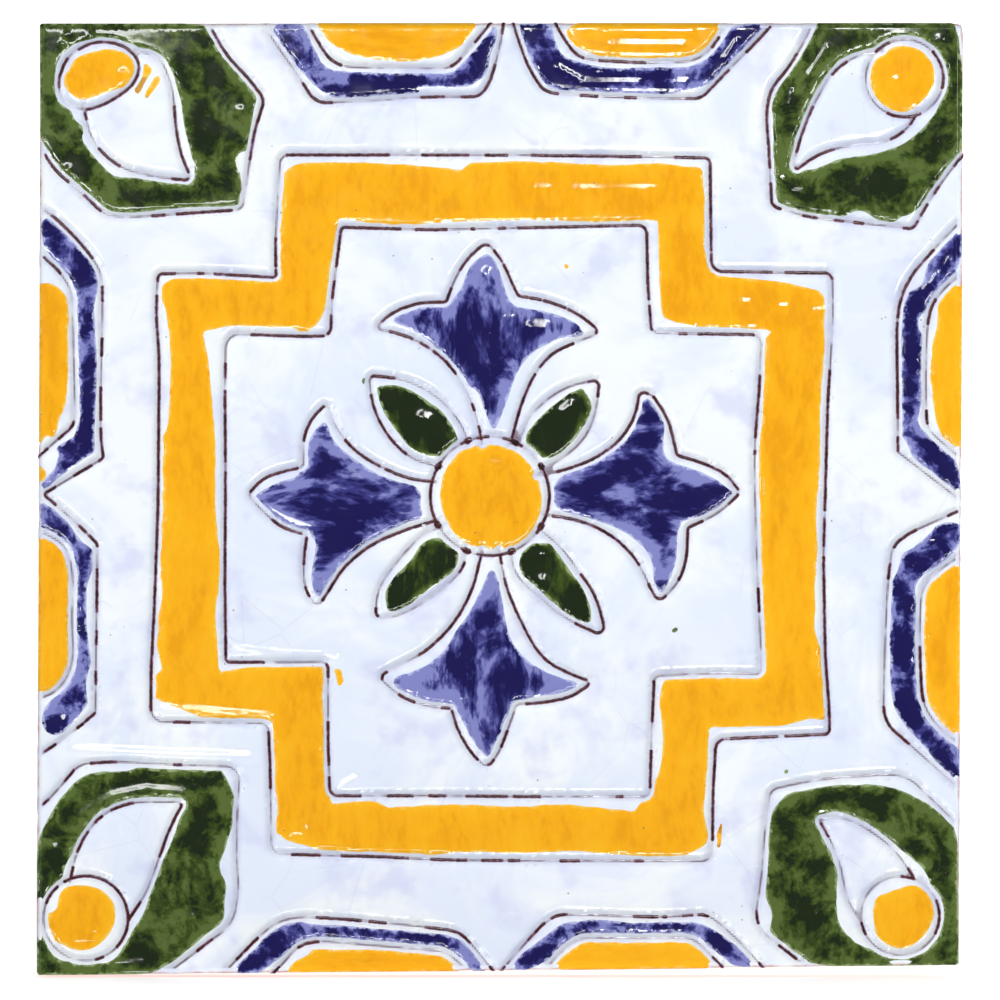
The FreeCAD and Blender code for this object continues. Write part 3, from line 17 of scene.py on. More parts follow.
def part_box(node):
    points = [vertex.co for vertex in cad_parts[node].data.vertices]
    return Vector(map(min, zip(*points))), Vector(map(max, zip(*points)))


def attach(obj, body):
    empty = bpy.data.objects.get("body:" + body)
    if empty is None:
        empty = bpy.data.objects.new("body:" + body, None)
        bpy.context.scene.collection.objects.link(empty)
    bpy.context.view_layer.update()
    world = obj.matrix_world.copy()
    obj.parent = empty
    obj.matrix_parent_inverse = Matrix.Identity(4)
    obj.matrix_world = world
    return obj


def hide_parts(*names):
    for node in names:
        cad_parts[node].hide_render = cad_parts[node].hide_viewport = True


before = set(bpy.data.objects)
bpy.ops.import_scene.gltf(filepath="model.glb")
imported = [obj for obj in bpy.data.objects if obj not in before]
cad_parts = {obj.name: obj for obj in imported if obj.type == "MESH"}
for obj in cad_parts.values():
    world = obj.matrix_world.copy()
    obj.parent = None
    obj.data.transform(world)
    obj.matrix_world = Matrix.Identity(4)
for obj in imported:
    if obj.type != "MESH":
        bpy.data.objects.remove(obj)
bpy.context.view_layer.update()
MM = 0.001
WELD = 0.004               # CAD corners this close are one point
LEVEL_SLACK = 0.01         # faces this near a depth lie at that depth
LEAST_AREA = 0.01          # smaller outlines are left out


# ---- Levels of the tile, read from the frame ---------------------------------------------

def depth_range(node):
    """Least and greatest depth of a CAD node."""
    low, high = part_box(node)
    return -high.y / MM, -low.y / MM


CLAY_LEVEL, CREST_TOP = depth_range("white_glaze")
FIELD_TOP, COLOUR_TOP = depth_range("yellow_band")
LINE_TOP = depth_range("line_disc")[1]
KEY_DEPTH = 0.8            # pockets pressed into the back

# ---- Shape of the glaze ------------------------------------------------------------------

CREST_HALF_WIDTH = 0.52    # CAD crest with its coat, from its middle to its edge
CREST_SPREAD = 0.46        # how wide the rounded crest swells
CREST_SHADE_AND_STAIN_REACH = 0.42    # how far down its flanks a crest gets its painted grey shade, and its stain on top
POOL_RISE = 0.07           # glaze drawn up against a crest
POOL_REACH = 0.85          # and how far out it is drawn up
POOL_ROUND = 0.3           # which starts softly from the middle of the crest
SWELL = 0.040              # soft waves of the fields
SWELL_PARTS = ((0.7, 22.0, 3), (0.3, 5.0, 4))   # share, length and seed of each
RUN_CLEARANCE = 0.8        # a thick run of glaze dies away this near a crest

ARRIS = 0.7                # rounding of the tile's front edge
ARRIS_TURNS = 5            # rings of points over it
NICK_DEPTH = 0.12          # how far its worst nicks go in
DRIP_SHORT = 0.5           # glaze run down over the sides
DRIP_LONG = 2.3
DRIP_OVERLAP = 0.05        # the coat's last ring lies this far behind the drips' ends
CLAY_SET_BACK = 0.22       # sides of the clay behind the glaze run over them
FINE = 0.26                # finest cell of the glaze coat's mesh
CELL_STEPS = ((3.6, 4.01), (1.9, 2.01), (0.85, 1.0))   # distance from a crest, cell in FINE
OPEN_FIELD_CELL = 9        # cell in FINE beyond those
RUN_REACH = 1.5            # cells are fine this near a thick run of glaze

COLOUR_SWELL = 0.03        # a brushed colour stands this proud in its middle
COLOUR_EASE = 0.6          # and eases up to that over this distance
COAT_LIFT = 0.012          # rim of a thin coat off the glaze
COAT_ROOT = 0.04           # its back inside the glaze
COAT_WRAP = 0.96           # share of the arris which a coat follows
COAT_BEND = 0.88           # its front bends back a little less than the glaze does
COAT_RAG = 0.07            # how far its outline strays
COLOUR_SPACING = 0.42      # between the points of a brushed colour
ARRIS_SPACING = 0.11       # the same on the arris
LINE_SPACING = 0.13        # and in a dark line
LINE_RAG = 0.035
ROW_STEP = 0.87            # rows of a triangle grid, in its spacing


def waves(points, length, seed):
    """Soft random swell from -1 to 1 and its slope, from a few crossing sine waves."""
    source = np.random.default_rng(seed)
    total = np.zeros(len(points))
    slope = np.zeros((len(points), 2))
    count = 6
    for _ in range(count):
        angle = source.uniform(0, 2 * math.pi)
        number = 2 * math.pi / (length * source.uniform(0.7, 1.6))
        way = np.array([math.cos(angle), math.sin(angle)]) * number
        phase = points @ way + source.uniform(0, 2 * math.pi)
        total += np.sin(phase) / count
        slope += np.cos(phase)[:, None] * way / count
    return total, slope


# ---- Outlines read from the CAD nodes ----------------------------------------------------

def rim_loops(node, depth):
    """Closed outlines of a CAD node's faces at one depth, the faces on their left."""
    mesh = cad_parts[node].data
    co = np.array([v.co for v in mesh.vertices]) / MM
    tree = KDTree(len(co))
    for k, point in enumerate(co):
        tree.insert(point, k)
    tree.balance()
    same = [min(found[1] for found in tree.find_range(point, WELD)) for point in co]
    level = [face for face in mesh.polygons
             if max(abs(-co[v][1] - depth) for v in face.vertices) < LEVEL_SLACK]
    backwards = sum(face.area * face.normal.y for face in level) > 0
    seen = Counter()
    for face in level:
        ring = [same[v] for v in face.vertices]
        if backwards:
            ring.reverse()
        seen.update((a, b) for a, b in zip(ring, ring[1:] + ring[:1]) if a != b)
    open_edges = [edge for edge in seen if seen[edge] > seen[edge[::-1]]]
    loops = [co[loop][:, [0, 2]] for loop in chained(open_edges)]
    return [loop for loop in loops if abs(enclosed(loop)) > LEAST_AREA]


def enclosed(loop):
    """Area inside a closed loop, less than nothing where it runs clockwise."""
    x, z = loop.T
    return (x * np.roll(z, -1) - z * np.roll(x, -1)).sum() / 2


def chained(edges):
    """Closed loops of point numbers from directed edges."""
    onward = {}
    for a, b in sorted(edges):
        onward.setdefault(a, []).append(b)
    loops = []
    while onward:
        loop = [min(onward)]
        while loop[-1] in onward and (len(loop) == 1 or loop[-1] != loop[0]):
            ways = onward[loop[-1]]
            here = loop[-1]
            loop.append(ways.pop())
            if not ways:
                del onward[here]
        loops.append(loop[:-1])
    return loops


def evenly(loop, spacing):
    """The same closed loop with points at an even spacing."""
    closed = np.vstack([loop, loop[:1]])
    lengths = np.linalg.norm(np.diff(closed, axis=0), axis=1)
    along = np.concatenate([[0], np.cumsum(lengths)])
    count = max(8, int(round(along[-1] / spacing)))
    stops = np.arange(count) * along[-1] / count
    return np.column_stack([np.interp(stops, along, closed[:, k]) for k in (0, 1)])


class Rim:
    """The outline of flat patches: how far inside it a point lies, and which way out is."""

    def __init__(self, points, outward):
        self.points = points
        self.outward = outward
        self.tree = KDTree(len(points))
        for k, (x, z) in enumerate(points):
            self.tree.insert((x, z, 0.0), k)
        self.tree.balance()

    def inset(self, points):
        """Distance inside the outline, less than nothing outside, and its slope."""
        nearest = np.array([self.tree.find((x, z, 0.0))[1] for x, z in points])
        apart = points - self.points[nearest]
        gap = np.linalg.norm(apart, axis=1)
        out = self.outward[nearest]
        inside = np.where((apart * out).sum(1) > 0, -1.0, 1.0)
        on_rim = gap[:, None] <= 0.01
        away = np.where(on_rim, -out * inside[:, None], apart / np.maximum(gap, 1e-9)[:, None])
        return gap * inside, away * inside[:, None]


def rim_along(loops, spacing):
    """The outline that a set of closed loops makes, with points at an even spacing."""
    points = []
    outward = []
    for loop in loops:
        even = evenly(loop, spacing)
        step = np.roll(even, -1, axis=0) - np.roll(even, 1, axis=0)
        step /= np.maximum(np.linalg.norm(step, axis=1), 1e-9)[:, None]
        points.append(even)
        outward.append(np.column_stack([step[:, 1], -step[:, 0]]))
    return Rim(np.vstack(points), np.vstack(outward))


def tile_corners():
    """Corners of the face, counter-clockwise from the lower left, from the glaze coat."""
    points = np.vstack(rim_loops("white_glaze", FIELD_TOP))
    diagonals = [(-1, -1), (1, -1), (1, 1), (-1, 1)]
    return np.array([points[np.argmax(points @ np.array(d))] for d in diagonals])


CORNERS = tile_corners()


def edge_place(points):
    """Distance inside the nearest of the tile's four sides, and the way inwards from it."""
    nearest = np.full(len(points), np.inf)
    inwards = np.zeros((len(points), 2))
    for k in range(4):
        a, b = CORNERS[k], CORNERS[(k + 1) % 4]
        side = (b - a) / np.linalg.norm(b - a)
        inward = np.array([-side[1], side[0]])
        distance = (points - a) @ inward
        closer = distance < nearest
        nearest[closer] = distance[closer]
        inwards[closer] = inward
    return nearest, inwards


def crest_rim():
    """Outline of the raised lines, left open where they run out over the tile's edge."""
    rim = rim_along(rim_loops("white_glaze", CREST_TOP), 0.05)
    inland = edge_place(rim.points)[0] > 0.08
    return Rim(rim.points[inland], rim.outward[inland])


CRESTS = crest_rim()


# ---- Surface of the white glaze ----------------------------------------------------------

def crest_distance(points):
    """Distance from the middle of the nearest raised line, and its slope."""
    inset, slope = CRESTS.inset(points)
    return np.maximum(CREST_HALF_WIDTH - inset, 0.0), -slope


def crest_share(distance):
    """How much of a crest's painted grey shade and stain there is at a distance from its middle."""
    return np.exp(-(distance / CREST_SHADE_AND_STAIN_REACH) ** 2)


# Runs of glaze whose upper flanks catch the light: the points that each one goes through.
THIN_RUN = (0.36, 0.054)       # half width and rise
THICK_RUN = (0.75, 0.125)
THIN_RUNS = [
    # yellow band
    [(8.0, 34.9), (17.5, 34.9)], [(4.2, 35.0), (5.4, 35.0)], [(27.6, 22.2), (28.5, 22.1)],
    [(31.9, 21.5), (32.8, 21.5)], [(35.9, 21.2), (36.9, 21.1)], [(7.0, -36.0), (11.0, -36.0)],
    # panels and brackets
    [(12.2, 52.9), (21.8, 52.9)], [(12.8, 51.4), (20.8, 51.3)], [(6.6, 48.7), (9.0, 47.4)],
    [(9.3, 47.1), (15.8, 47.1)], [(20.1, 47.1), (21.3, 47.1)], [(11.2, 48.2), (16.3, 48.2)],
    [(25.5, 49.8), (26.9, 51.7)], [(48.2, 23.5), (49.9, 25.4)], [(50.4, 26.2), (51.0, 27.0)],
    [(48.8, -5.2), (49.3, -5.1)],
    # corner rings and their discs
    [(35.1, 48.0), (37.2, 51.0)], [(32.9, 44.5), (33.3, 45.9)],
    [(32.1, 36.0), (33.1, 34.7), (34.3, 34.6)],
    [(49.9, 52.0), (50.1, 52.0)], [(45.0, 47.3), (45.2, 47.3)],
    [(-49.3, 52.4), (-49.1, 52.4)], [(-46.5, 52.4), (-46.3, 52.4)],
    [(-49.7, 51.4), (-49.5, 51.4)], [(-29.6, 43.9), (-29.4, 43.9)],
    [(-42.9, 48.2), (-42.7, 48.2)], [(-49.2, 37.3), (-49.0, 37.3)],
    # petals, leaves and centre
    [(0.6, 20.4), (1.5, 20.4)], [(-12.0, -22.4), (-9.4, -22.4)], [(-4.4, -23.1), (-3.5, -23.1)],
    [(-2.5, -29.4), (-2.4, -29.4)], [(-0.8, 3.8), (-0.2, 3.8)], [(4.7, -6.6), (4.9, -6.6)],
]
THICK_RUNS = [
    # white fields and the band at the lower left
    [(-49.0, -28.8), (-38.0, -29.3), (-28.6, -29.6)],
    [(-30.4, -17.5), (-24.0, -18.3), (-18.6, -18.6)],
    [(-18.9, -33.5), (-16.6, -32.2)], [(-30.2, -44.4), (-29.9, -43.2)],
    [(-38.2, -24.2), (-33.0, -24.6), (-26.0, -25.2)],
    [(-25.5, -39.3), (-21.5, -38.5)], [(-22.0, -38.0), (-21.9, -38.0)],
    [(-50.9, -27.0), (-49.5, -25.5)],
    # lower left corner ring and its disc
    [(-47.8, -36.3), (-44.0, -34.1), (-40.0, -33.3), (-36.0, -33.7)],
    [(-50.5, -40.0), (-51.0, -42.5), (-52.0, -45.0)],
    [(-49.0, -54.0), (-40.0, -53.0), (-34.9, -47.8)],
    [(-46.1, -49.8), (-45.9, -49.8)], [(-48.2, -50.9), (-45.8, -50.9)],
    # petals and leaves
    [(-1.4, 25.2), (-1.4, 24.4)], [(3.6, 19.2), (5.1, 19.1)],
    [(-19.4, 7.4), (-17.8, 3.1), (-16.2, 1.6)],
    [(-8.8, 8.9), (-8.2, 8.7)], [(7.3, 9.6), (8.0, 10.2)], [(4.9, -9.6), (5.9, -10.6)],
    [(-25.9, -2.4), (-22.0, -3.9)],
]


def run_distance(points, runs):
    """Distance from the middle of the nearest run of glaze, and the way out from it."""
    nearest = np.full(len(points), np.inf)
    away = np.zeros((len(points), 2))
    for a, b in [(np.array(a), np.array(b)) for run in runs for a, b in zip(run, run[1:])]:
        span = b - a
        along = np.clip((points - a) @ span / (span @ span), 0, 1)
        apart = points - a - along[:, None] * span
        gap = np.linalg.norm(apart, axis=1)
        closer = gap < nearest
        nearest[closer] = gap[closer]
        away[closer] = apart[closer] / np.maximum(gap[closer], 1e-6)[:, None]
    return nearest, away


def surface(points):
    """Depth of the glazed face and its slope at points of the face."""
    c, c_slope = crest_distance(points)
    crest = (CREST_TOP - FIELD_TOP - POOL_RISE) * np.exp(-(c / CREST_SPREAD) ** 2)
    crest_fall = -2 * c / CREST_SPREAD ** 2 * crest
    soft = np.sqrt(c ** 2 + POOL_ROUND ** 2)
    pool = POOL_RISE * np.exp(-(soft - POOL_ROUND) / POOL_REACH)
    pool_fall = -pool / POOL_REACH * c / soft
    height = FIELD_TOP - SWELL + crest + pool
    slope = c_slope * (crest_fall + pool_fall)[:, None]
    for share, length, seed in SWELL_PARTS:
        swell, swell_slope = waves(points, length, seed)
        height = height + SWELL * share * swell
        slope = slope + SWELL * share * swell_slope
    clear = 1 - np.exp(-(c / RUN_CLEARANCE) ** 2)
    for runs, (width, rise) in ((THIN_RUNS, THIN_RUN), (THICK_RUNS, THICK_RUN)):
        gap, away = run_distance(points, runs)
        run = rise * clear * np.exp(-(gap / width) ** 2)
        slope = slope - (2 * gap / width ** 2 * run)[:, None] * away
        height = height + run
    return np.minimum(height, CREST_TOP), slope, c


def arris_drop(points):
    """How far a coat bends back over the arris, and the slope of that."""
    distance, inward = edge_place(points)
    share = COAT_WRAP * np.clip(1 - distance / ARRIS, 0, 1)
    root = np.sqrt(1 - share ** 2)
    return ARRIS * (1 - root), -(COAT_WRAP * share / root)[:, None] * inward


def normals(slope):
    """Outward normals of a face towards -Y whose depth changes with this slope."""
    n = np.column_stack([-slope[:, 0], -np.ones(len(slope)), -slope[:, 1]])
    return n / np.linalg.norm(n, axis=1)[:, None]


# ---- Meshes ------------------------------------------------------------------------------

BACKWARDS = (0.0, 1.0, 0.0)


def mesh_object(name, points, faces, attributes=None, face_normals=None):
    """A mesh from points (x, depth, z) in millimetres, with per-point values and normals."""
    points = np.asarray(points, float)
    metres = np.column_stack([points[:, 0], -points[:, 1], points[:, 2]]) * MM
    mesh = bpy.data.meshes.new(name)
    mesh.from_pydata(metres.tolist(), [], faces)
    mesh.polygons.foreach_set("use_smooth", [True] * len(mesh.polygons))
    for key, values in (attributes or {}).items():
        layer = mesh.attributes.new(key, "FLOAT", "POINT")
        layer.data.foreach_set("value", np.asarray(values, np.float32))
    mesh.update()
    if face_normals is not None:
        mesh.normals_split_custom_set(face_normals)
    piece = bpy.data.objects.new(name, mesh)
    bpy.context.scene.collection.objects.link(piece)
    return piece


class Sheet:
    """A grid over the tile's face, finer where it is asked to be."""

    def __init__(self, inset, unit, wanted_size):
        """wanted_size(points) says how large a cell may be there, in millimetres."""
        self.corners = inset_corners(inset)
        width = np.linalg.norm(self.corners[1] - self.corners[0])
        height = np.linalg.norm(self.corners[3] - self.corners[0])
        self.coarse = 8
        self.columns = self.coarse * round(width / unit / self.coarse)
        self.rows = self.coarse * round(height / unit / self.coarse)
        self.unit = unit
        self.cells = self.divided(wanted_size)
        self.build()

    def place(self, grid):
        """Points of the face at grid positions."""
        u = (grid[:, 0] / self.columns)[:, None]
        v = (grid[:, 1] / self.rows)[:, None]
        low = self.corners[0] * (1 - u) + self.corners[1] * u
        high = self.corners[3] * (1 - u) + self.corners[2] * u
        return low * (1 - v) + high * v

    def divided(self, wanted_size):
        """Cells as (column, row, size), halved until they are as small as is wanted."""
        size = self.coarse
        starts = np.arange(0, self.columns, size), np.arange(0, self.rows, size)
        i, j = np.meshgrid(*starts, indexing="ij")
        cells = np.column_stack([i.ravel(), j.ravel()])
        done = []
        while size > 1:
            middle = cells + size / 2
            at_border = (cells[:, 0] == 0) | (cells[:, 1] == 0)
            at_border |= (cells[:, 0] + size == self.columns) | (cells[:, 1] + size == self.rows)
            split = (wanted_size(self.place(middle)) < size * self.unit) | at_border
            done += [(a, b, size) for a, b in cells[~split]]
            half = size // 2
            cells = np.vstack([cells[split] + np.array(step) * half
                               for step in ((0, 0), (1, 0), (0, 1), (1, 1))])
            size = half
        return done + [(a, b, 1) for a, b in cells]

    def build(self):
        """Grid points, faces and the border loop, counter-clockwise seen from the front."""
        used = np.zeros((self.columns + 1, self.rows + 1), bool)
        for i, j, s in self.cells:
            used[i, j] = used[i + s, j] = used[i, j + s] = used[i + s, j + s] = True
        index = -np.ones(used.shape, int)
        where = np.argwhere(used)
        index[used] = np.arange(len(where))
        grid = [tuple(w) for w in where]
        faces = []
        for i, j, s in self.cells:
            ring = [(i + k, j) for k in range(s)] + [(i + s, j + k) for k in range(s)]
            ring += [(i + s - k, j + s) for k in range(s)] + [(i, j + s - k) for k in range(s)]
            ring = [int(index[p]) for p in ring if used[p]]
            if len(ring) == 4:
                faces.append(ring)
                continue
            middle = len(grid)
            grid.append((i + s / 2, j + s / 2))
            faces += [[ring[k - 1], ring[k], middle] for k in range(len(ring))]
        self.points = self.place(np.array(grid, float))
        self.faces = faces
        border = [(i, 0) for i in range(self.columns)]
        border += [(self.columns, j) for j in range(self.rows)]
        border += [(self.columns - i, self.rows) for i in range(self.columns)]
        border += [(0, self.rows - j) for j in range(self.rows)]
        self.border = [int(index[p]) for p in border]


def inset_corners(inset):
    """Corners of the face moved inwards from all four sides."""
    corners = []
    for k in range(4):
        lines = []
        for m in (k - 1, k):
            a, b = CORNERS[m], CORNERS[(m + 1) % 4]
            side = (b - a) / np.linalg.norm(b - a)
            inward = np.array([-side[1], side[0]])
            lines.append((inward, inward @ a + inset))
        corners.append(np.linalg.solve([lines[0][0], lines[1][0]], [lines[0][1], lines[1][1]]))
    return np.array(corners)


def ring_outward(points, blur):
    """Ways out from a closed loop of points, turned softly round its corners."""
    step = np.roll(points, -1, axis=0) - np.roll(points, 1, axis=0)
    out = np.column_stack([step[:, 1], -step[:, 0]])
    out /= np.linalg.norm(out, axis=1)[:, None]
    soft = sum(np.roll(out, k, axis=0) for k in range(-blur, blur + 1))
    return soft / np.linalg.norm(soft, axis=1)[:, None]


def bridge(first, second):
    """Faces between two loops of point numbers of the same length, the second one outside."""
    count = len(first)
    return [[first[k], second[k], second[(k + 1) % count], first[(k + 1) % count]]
            for k in range(count)]


# ---- The white glaze coat ----------------------------------------------------------------

def glaze_cell_size(points):
    """Small cells on the raised lines, larger ones out in the fields."""
    c, _ = crest_distance(points)
    wanted = np.full(len(points), OPEN_FIELD_CELL * FINE)
    for reach, cell in CELL_STEPS:
        wanted[c < reach] = cell * FINE
    near_run = run_distance(points, THIN_RUNS + THICK_RUNS)[0] < RUN_REACH
    return np.where(near_run, np.minimum(wanted, 1.01 * FINE), wanted)


def drip_depth(border_points):
    """How far down the side the glaze has run, round the tile."""
    lazy, _ = waves(border_points, 14.0, 11)
    quick, _ = waves(border_points, 3.5, 12)
    share = np.clip(0.42 + 0.9 * lazy + 0.5 * quick, 0, 1)
    return DRIP_SHORT + (DRIP_LONG - DRIP_SHORT) * share


def white_glaze():
    """The coat over the whole face, its rounded arris and the drips down the four sides."""
    sheet = Sheet(ARRIS, FINE, glaze_cell_size)
    height, slope, c = surface(sheet.points)
    border = np.array(sheet.border)
    rim = sheet.points[border]
    out = ring_outward(rim, 3)
    nick, _ = waves(rim, 4.0, 13)
    nick = np.clip(nick - 0.25, 0, 1) * NICK_DEPTH
    points = [np.column_stack([sheet.points[:, 0], height, sheet.points[:, 1]])]
    point_normals = [normals(slope)]
    crest = [crest_share(c)]
    edge = [np.zeros(len(height))]
    rings = [border]
    faces = [list(face) for face in sheet.faces]

    def add_ring(offset, depth, way_out, wear):
        """One more ring round the sheet; way_out is 0 facing forwards and 1 facing sideways."""
        start = sum(len(p) for p in points)
        at = rim + out * np.asarray(offset)[:, None]
        points.append(np.column_stack([at[:, 0], depth, at[:, 1]]))
        forward = np.full(len(rim), 1 - way_out ** 2) ** 0.5
        point_normals.append(np.column_stack([out[:, 0] * way_out, -forward, out[:, 1] * way_out]))
        crest.append(crest[0][border] * (1 - way_out))
        edge.append(np.full(len(rim), wear))
        rings.append(np.arange(start, start + len(rim)))
        faces.extend(bridge(rings[-2], rings[-1]))

    level = height[border]
    for k in range(1, ARRIS_TURNS + 1):
        angle = math.pi / 2 * k / ARRIS_TURNS
        reach = ARRIS * math.sin(angle) - nick * (k / ARRIS_TURNS)
        depth = level - ARRIS * (1 - math.cos(angle))
        add_ring(reach, depth, math.sin(angle), k / ARRIS_TURNS)
    drip = drip_depth(rim)
    full = np.full(len(rim), ARRIS) - nick
    for share, thinner in ((0.4, 0.02), (0.8, 0.02), (1.0, 0.1)):
        add_ring(full - thinner, level - ARRIS - drip * share, 1.0, 1.0)
    inside_clay = full - CLAY_SET_BACK
    add_ring(inside_clay - 0.08, level - ARRIS - drip - DRIP_OVERLAP, 1.0, 1.0)
    add_ring(inside_clay - 0.2, np.full(len(rim), CLAY_LEVEL - DRIP_OVERLAP), 1.0, 1.0)
    faces.append([int(v) for v in rings[-1]])

    points = np.vstack(points)
    loop_normals = np.vstack(point_normals)
    back_face = faces[-1]
    facing = [loop_normals[v] for face in faces[:-1] for v in face]
    facing += [BACKWARDS] * len(back_face)
    values = {"crest": np.concatenate(crest), "edge": np.concatenate(edge)}
    return mesh_object("glaze_coat", points, faces, values, facing)


# ---- The clay body -----------------------------------------------------------------------

BACK_ROUND = 0.6           # rounding of the back's edge
WALL_STEEPNESS = 0.14      # how fast a pressed key's wall drops
SIDE_RINGS = 14


def clay_body():
    """A plate with rough sides, and shallow keys pressed into its back."""
    pockets = rim_along(rim_loops("clay_body", KEY_DEPTH), 0.1)

    def cell_size(points):
        near = np.abs(pockets.inset(points)[0])
        return np.where(near < 0.8, 0.5, np.where(near < 2.0, 1.1, 4.5))

    sheet = Sheet(CLAY_SET_BACK + BACK_ROUND, 0.5, cell_size)
    inset, _ = pockets.inset(sheet.points)
    press = 1 / (1 + np.exp(-np.clip(inset / WALL_STEEPNESS, -30, 30)))
    swell, _ = waves(sheet.points, 9.0, 21)
    grain, _ = waves(sheet.points, 2.2, 22)
    depth = KEY_DEPTH * press + 0.03 * (1 + swell) + 0.02 * (1 + grain)
    border = np.array(sheet.border)
    rim = sheet.points[border]
    out = ring_outward(rim, 2)
    points = [np.column_stack([sheet.points[:, 0], depth, sheet.points[:, 1]])]
    faces = [list(reversed(face)) for face in sheet.faces]
    rings = [border]
    start = len(depth)
    # Two rings round the back's edge off, the rest climb the side.
    steps = [(0.6, 0.12), (0.9, 0.35)]
    steps += [(1.0, level) for level in np.linspace(0.7, CLAY_LEVEL - 0.1, SIDE_RINGS)]
    for share, level in steps:
        here = rim + np.array([level * 0.9, level * 0.7])
        rough = 0.07 * waves(here, 5.0, 23)[0] + 0.05 * waves(here, 1.6, 24)[0]
        reach = BACK_ROUND * share + np.minimum(rough, 0.08) - 0.02
        at = rim + out * reach[:, None]
        points.append(np.column_stack([at[:, 0], np.full(len(rim), level), at[:, 1]]))
        rings.append(np.arange(start, start + len(rim)))
        start += len(rim)
        faces += [list(reversed(face)) for face in bridge(rings[-2], rings[-1])]
    faces.append([int(v) for v in rings[-1]])
    pressed = np.concatenate([press, np.zeros(start - len(press))])
    return mesh_object("clay_plate", np.vstack(points), faces, {"pressed": pressed})


# ---- Thin coats on the glaze: brushed colours and dark lines -----------------------------

def ragged(loop, amount, length, seed):
    """A loop whose points stray a little in and out, as a brush leaves them."""
    out = ring_outward(loop, 1)
    stray = waves(loop, length, seed)[0] + 0.6 * waves(loop, length / 3, seed + 1)[0]
    return loop + out * (amount * stray)[:, None]


def inner_points(rim, spacing, seed, over_arris):
    """A slightly shaken grid of points inside an outline, on the arris or off it."""
    low = rim.points.min(0)
    high = rim.points.max(0)
    xs = np.arange(low[0], high[0], spacing)
    zs = np.arange(low[1], high[1], spacing * ROW_STEP)
    grid = [(x + (row % 2) * spacing / 2, z) for row, z in enumerate(zs) for x in xs]
    grid = np.array(grid).reshape(-1, 2)
    grid = grid[(edge_place(grid)[0] < ARRIS) == over_arris]
    if not len(grid):
        return grid
    source = np.random.default_rng(seed)
    grid = grid + source.uniform(-0.12, 0.12, grid.shape) * spacing
    return grid[rim.inset(grid)[0] > 0.55 * spacing]


def ring_edges(loops):
    """Edges round each of some closed loops whose points are numbered one loop after another."""
    edges = []
    first = 0
    for loop in loops:
        count = len(loop)
        edges += [(first + k, first + (k + 1) % count) for k in range(count)]
        first += count
    return edges


def turned_forward(at, triangles):
    """The same triangles all counter-clockwise, without those that have next to no area."""
    def area(rows):
        return np.cross(at[rows[:, 1]] - at[rows[:, 0]], at[rows[:, 2]] - at[rows[:, 0]])

    triangles = triangles[np.abs(area(triangles)) > 1e-7]
    flip = area(triangles) < 0
    triangles[flip] = triangles[flip][:, ::-1]
    return triangles


def thin_coat(name, node, depth, spacing, stray, lift):
    """A closed thin coat over one CAD node's front faces, following the glazed surface."""
    seed = seed_of(node)
    loops = []
    for k, loop in enumerate(rim_loops(node, depth)):
        even = evenly(loop, spacing)
        at_edge = edge_place(even)[0] < 0.12
        loose = ragged(even, stray, spacing * 5, seed + 7 * k)
        loops.append(np.where(at_edge[:, None], even, loose))
    rim = rim_along(loops, spacing * 0.5)
    field = inner_points(rim, spacing, seed, False)
    bend = inner_points(rim, min(spacing, ARRIS_SPACING), seed + 1, True)
    verts = [Vector(p) for p in np.vstack(loops + [field, bend])]
    flat = geometry.delaunay_2d_cdt(verts, ring_edges(loops), [], 0, 1e-6, False)
    at = np.array([tuple(v) for v in flat[0]])
    triangles = np.array([face for face in flat[2] if len(face) == 3])
    inside, _ = rim.inset(at[triangles].mean(1))
    triangles = turned_forward(at, triangles[inside > 0])
    used = np.unique(triangles)
    renumber = -np.ones(len(at), int)
    renumber[used] = np.arange(len(used))
    return lens(name, at[used], renumber[triangles], rim, lift)


def lens(name, at, triangles, rim, lift):
    """Front and back of a thin coat that meet along its outline."""
    directed = {(int(a), int(b)) for t in triangles for a, b in zip(t, np.roll(t, -1))}
    lone = [edge for edge in directed if edge[::-1] not in directed]
    shared = sorted({point for edge in lone for point in edge})
    height, slope, c = surface(at)
    inset, inset_slope = rim.inset(at)
    inset = np.maximum(inset, 0)
    inset[shared] = 0
    left = np.exp(-inset / COLOUR_EASE)
    rise = lift * (1 - left)
    rise_slope = inset_slope * (left * lift / COLOUR_EASE)[:, None]
    drop, drop_slope = arris_drop(at)
    front = height + COAT_LIFT + rise - COAT_BEND * drop
    behind = height - COAT_ROOT - drop
    twin = np.arange(len(at)) + len(at)
    twin[shared] = shared
    faces = np.vstack([triangles, twin[triangles][:, ::-1]])
    points = np.vstack([np.column_stack([at[:, 0], depth, at[:, 1]]) for depth in (front, behind)])
    keep = np.unique(faces)
    compact = -np.ones(len(points), int)
    compact[keep] = np.arange(len(keep))
    forward = normals(slope + rise_slope - drop_slope)
    facing = forward[triangles.ravel()].tolist() + [BACKWARDS] * (3 * len(triangles))
    values = {"inset": np.tile(inset, 2)[keep], "crest": np.tile(crest_share(c), 2)[keep]}
    return mesh_object(name, points[keep], compact[faces].tolist(), values, facing)


# ---- Materials ---------------------------------------------------------------------------

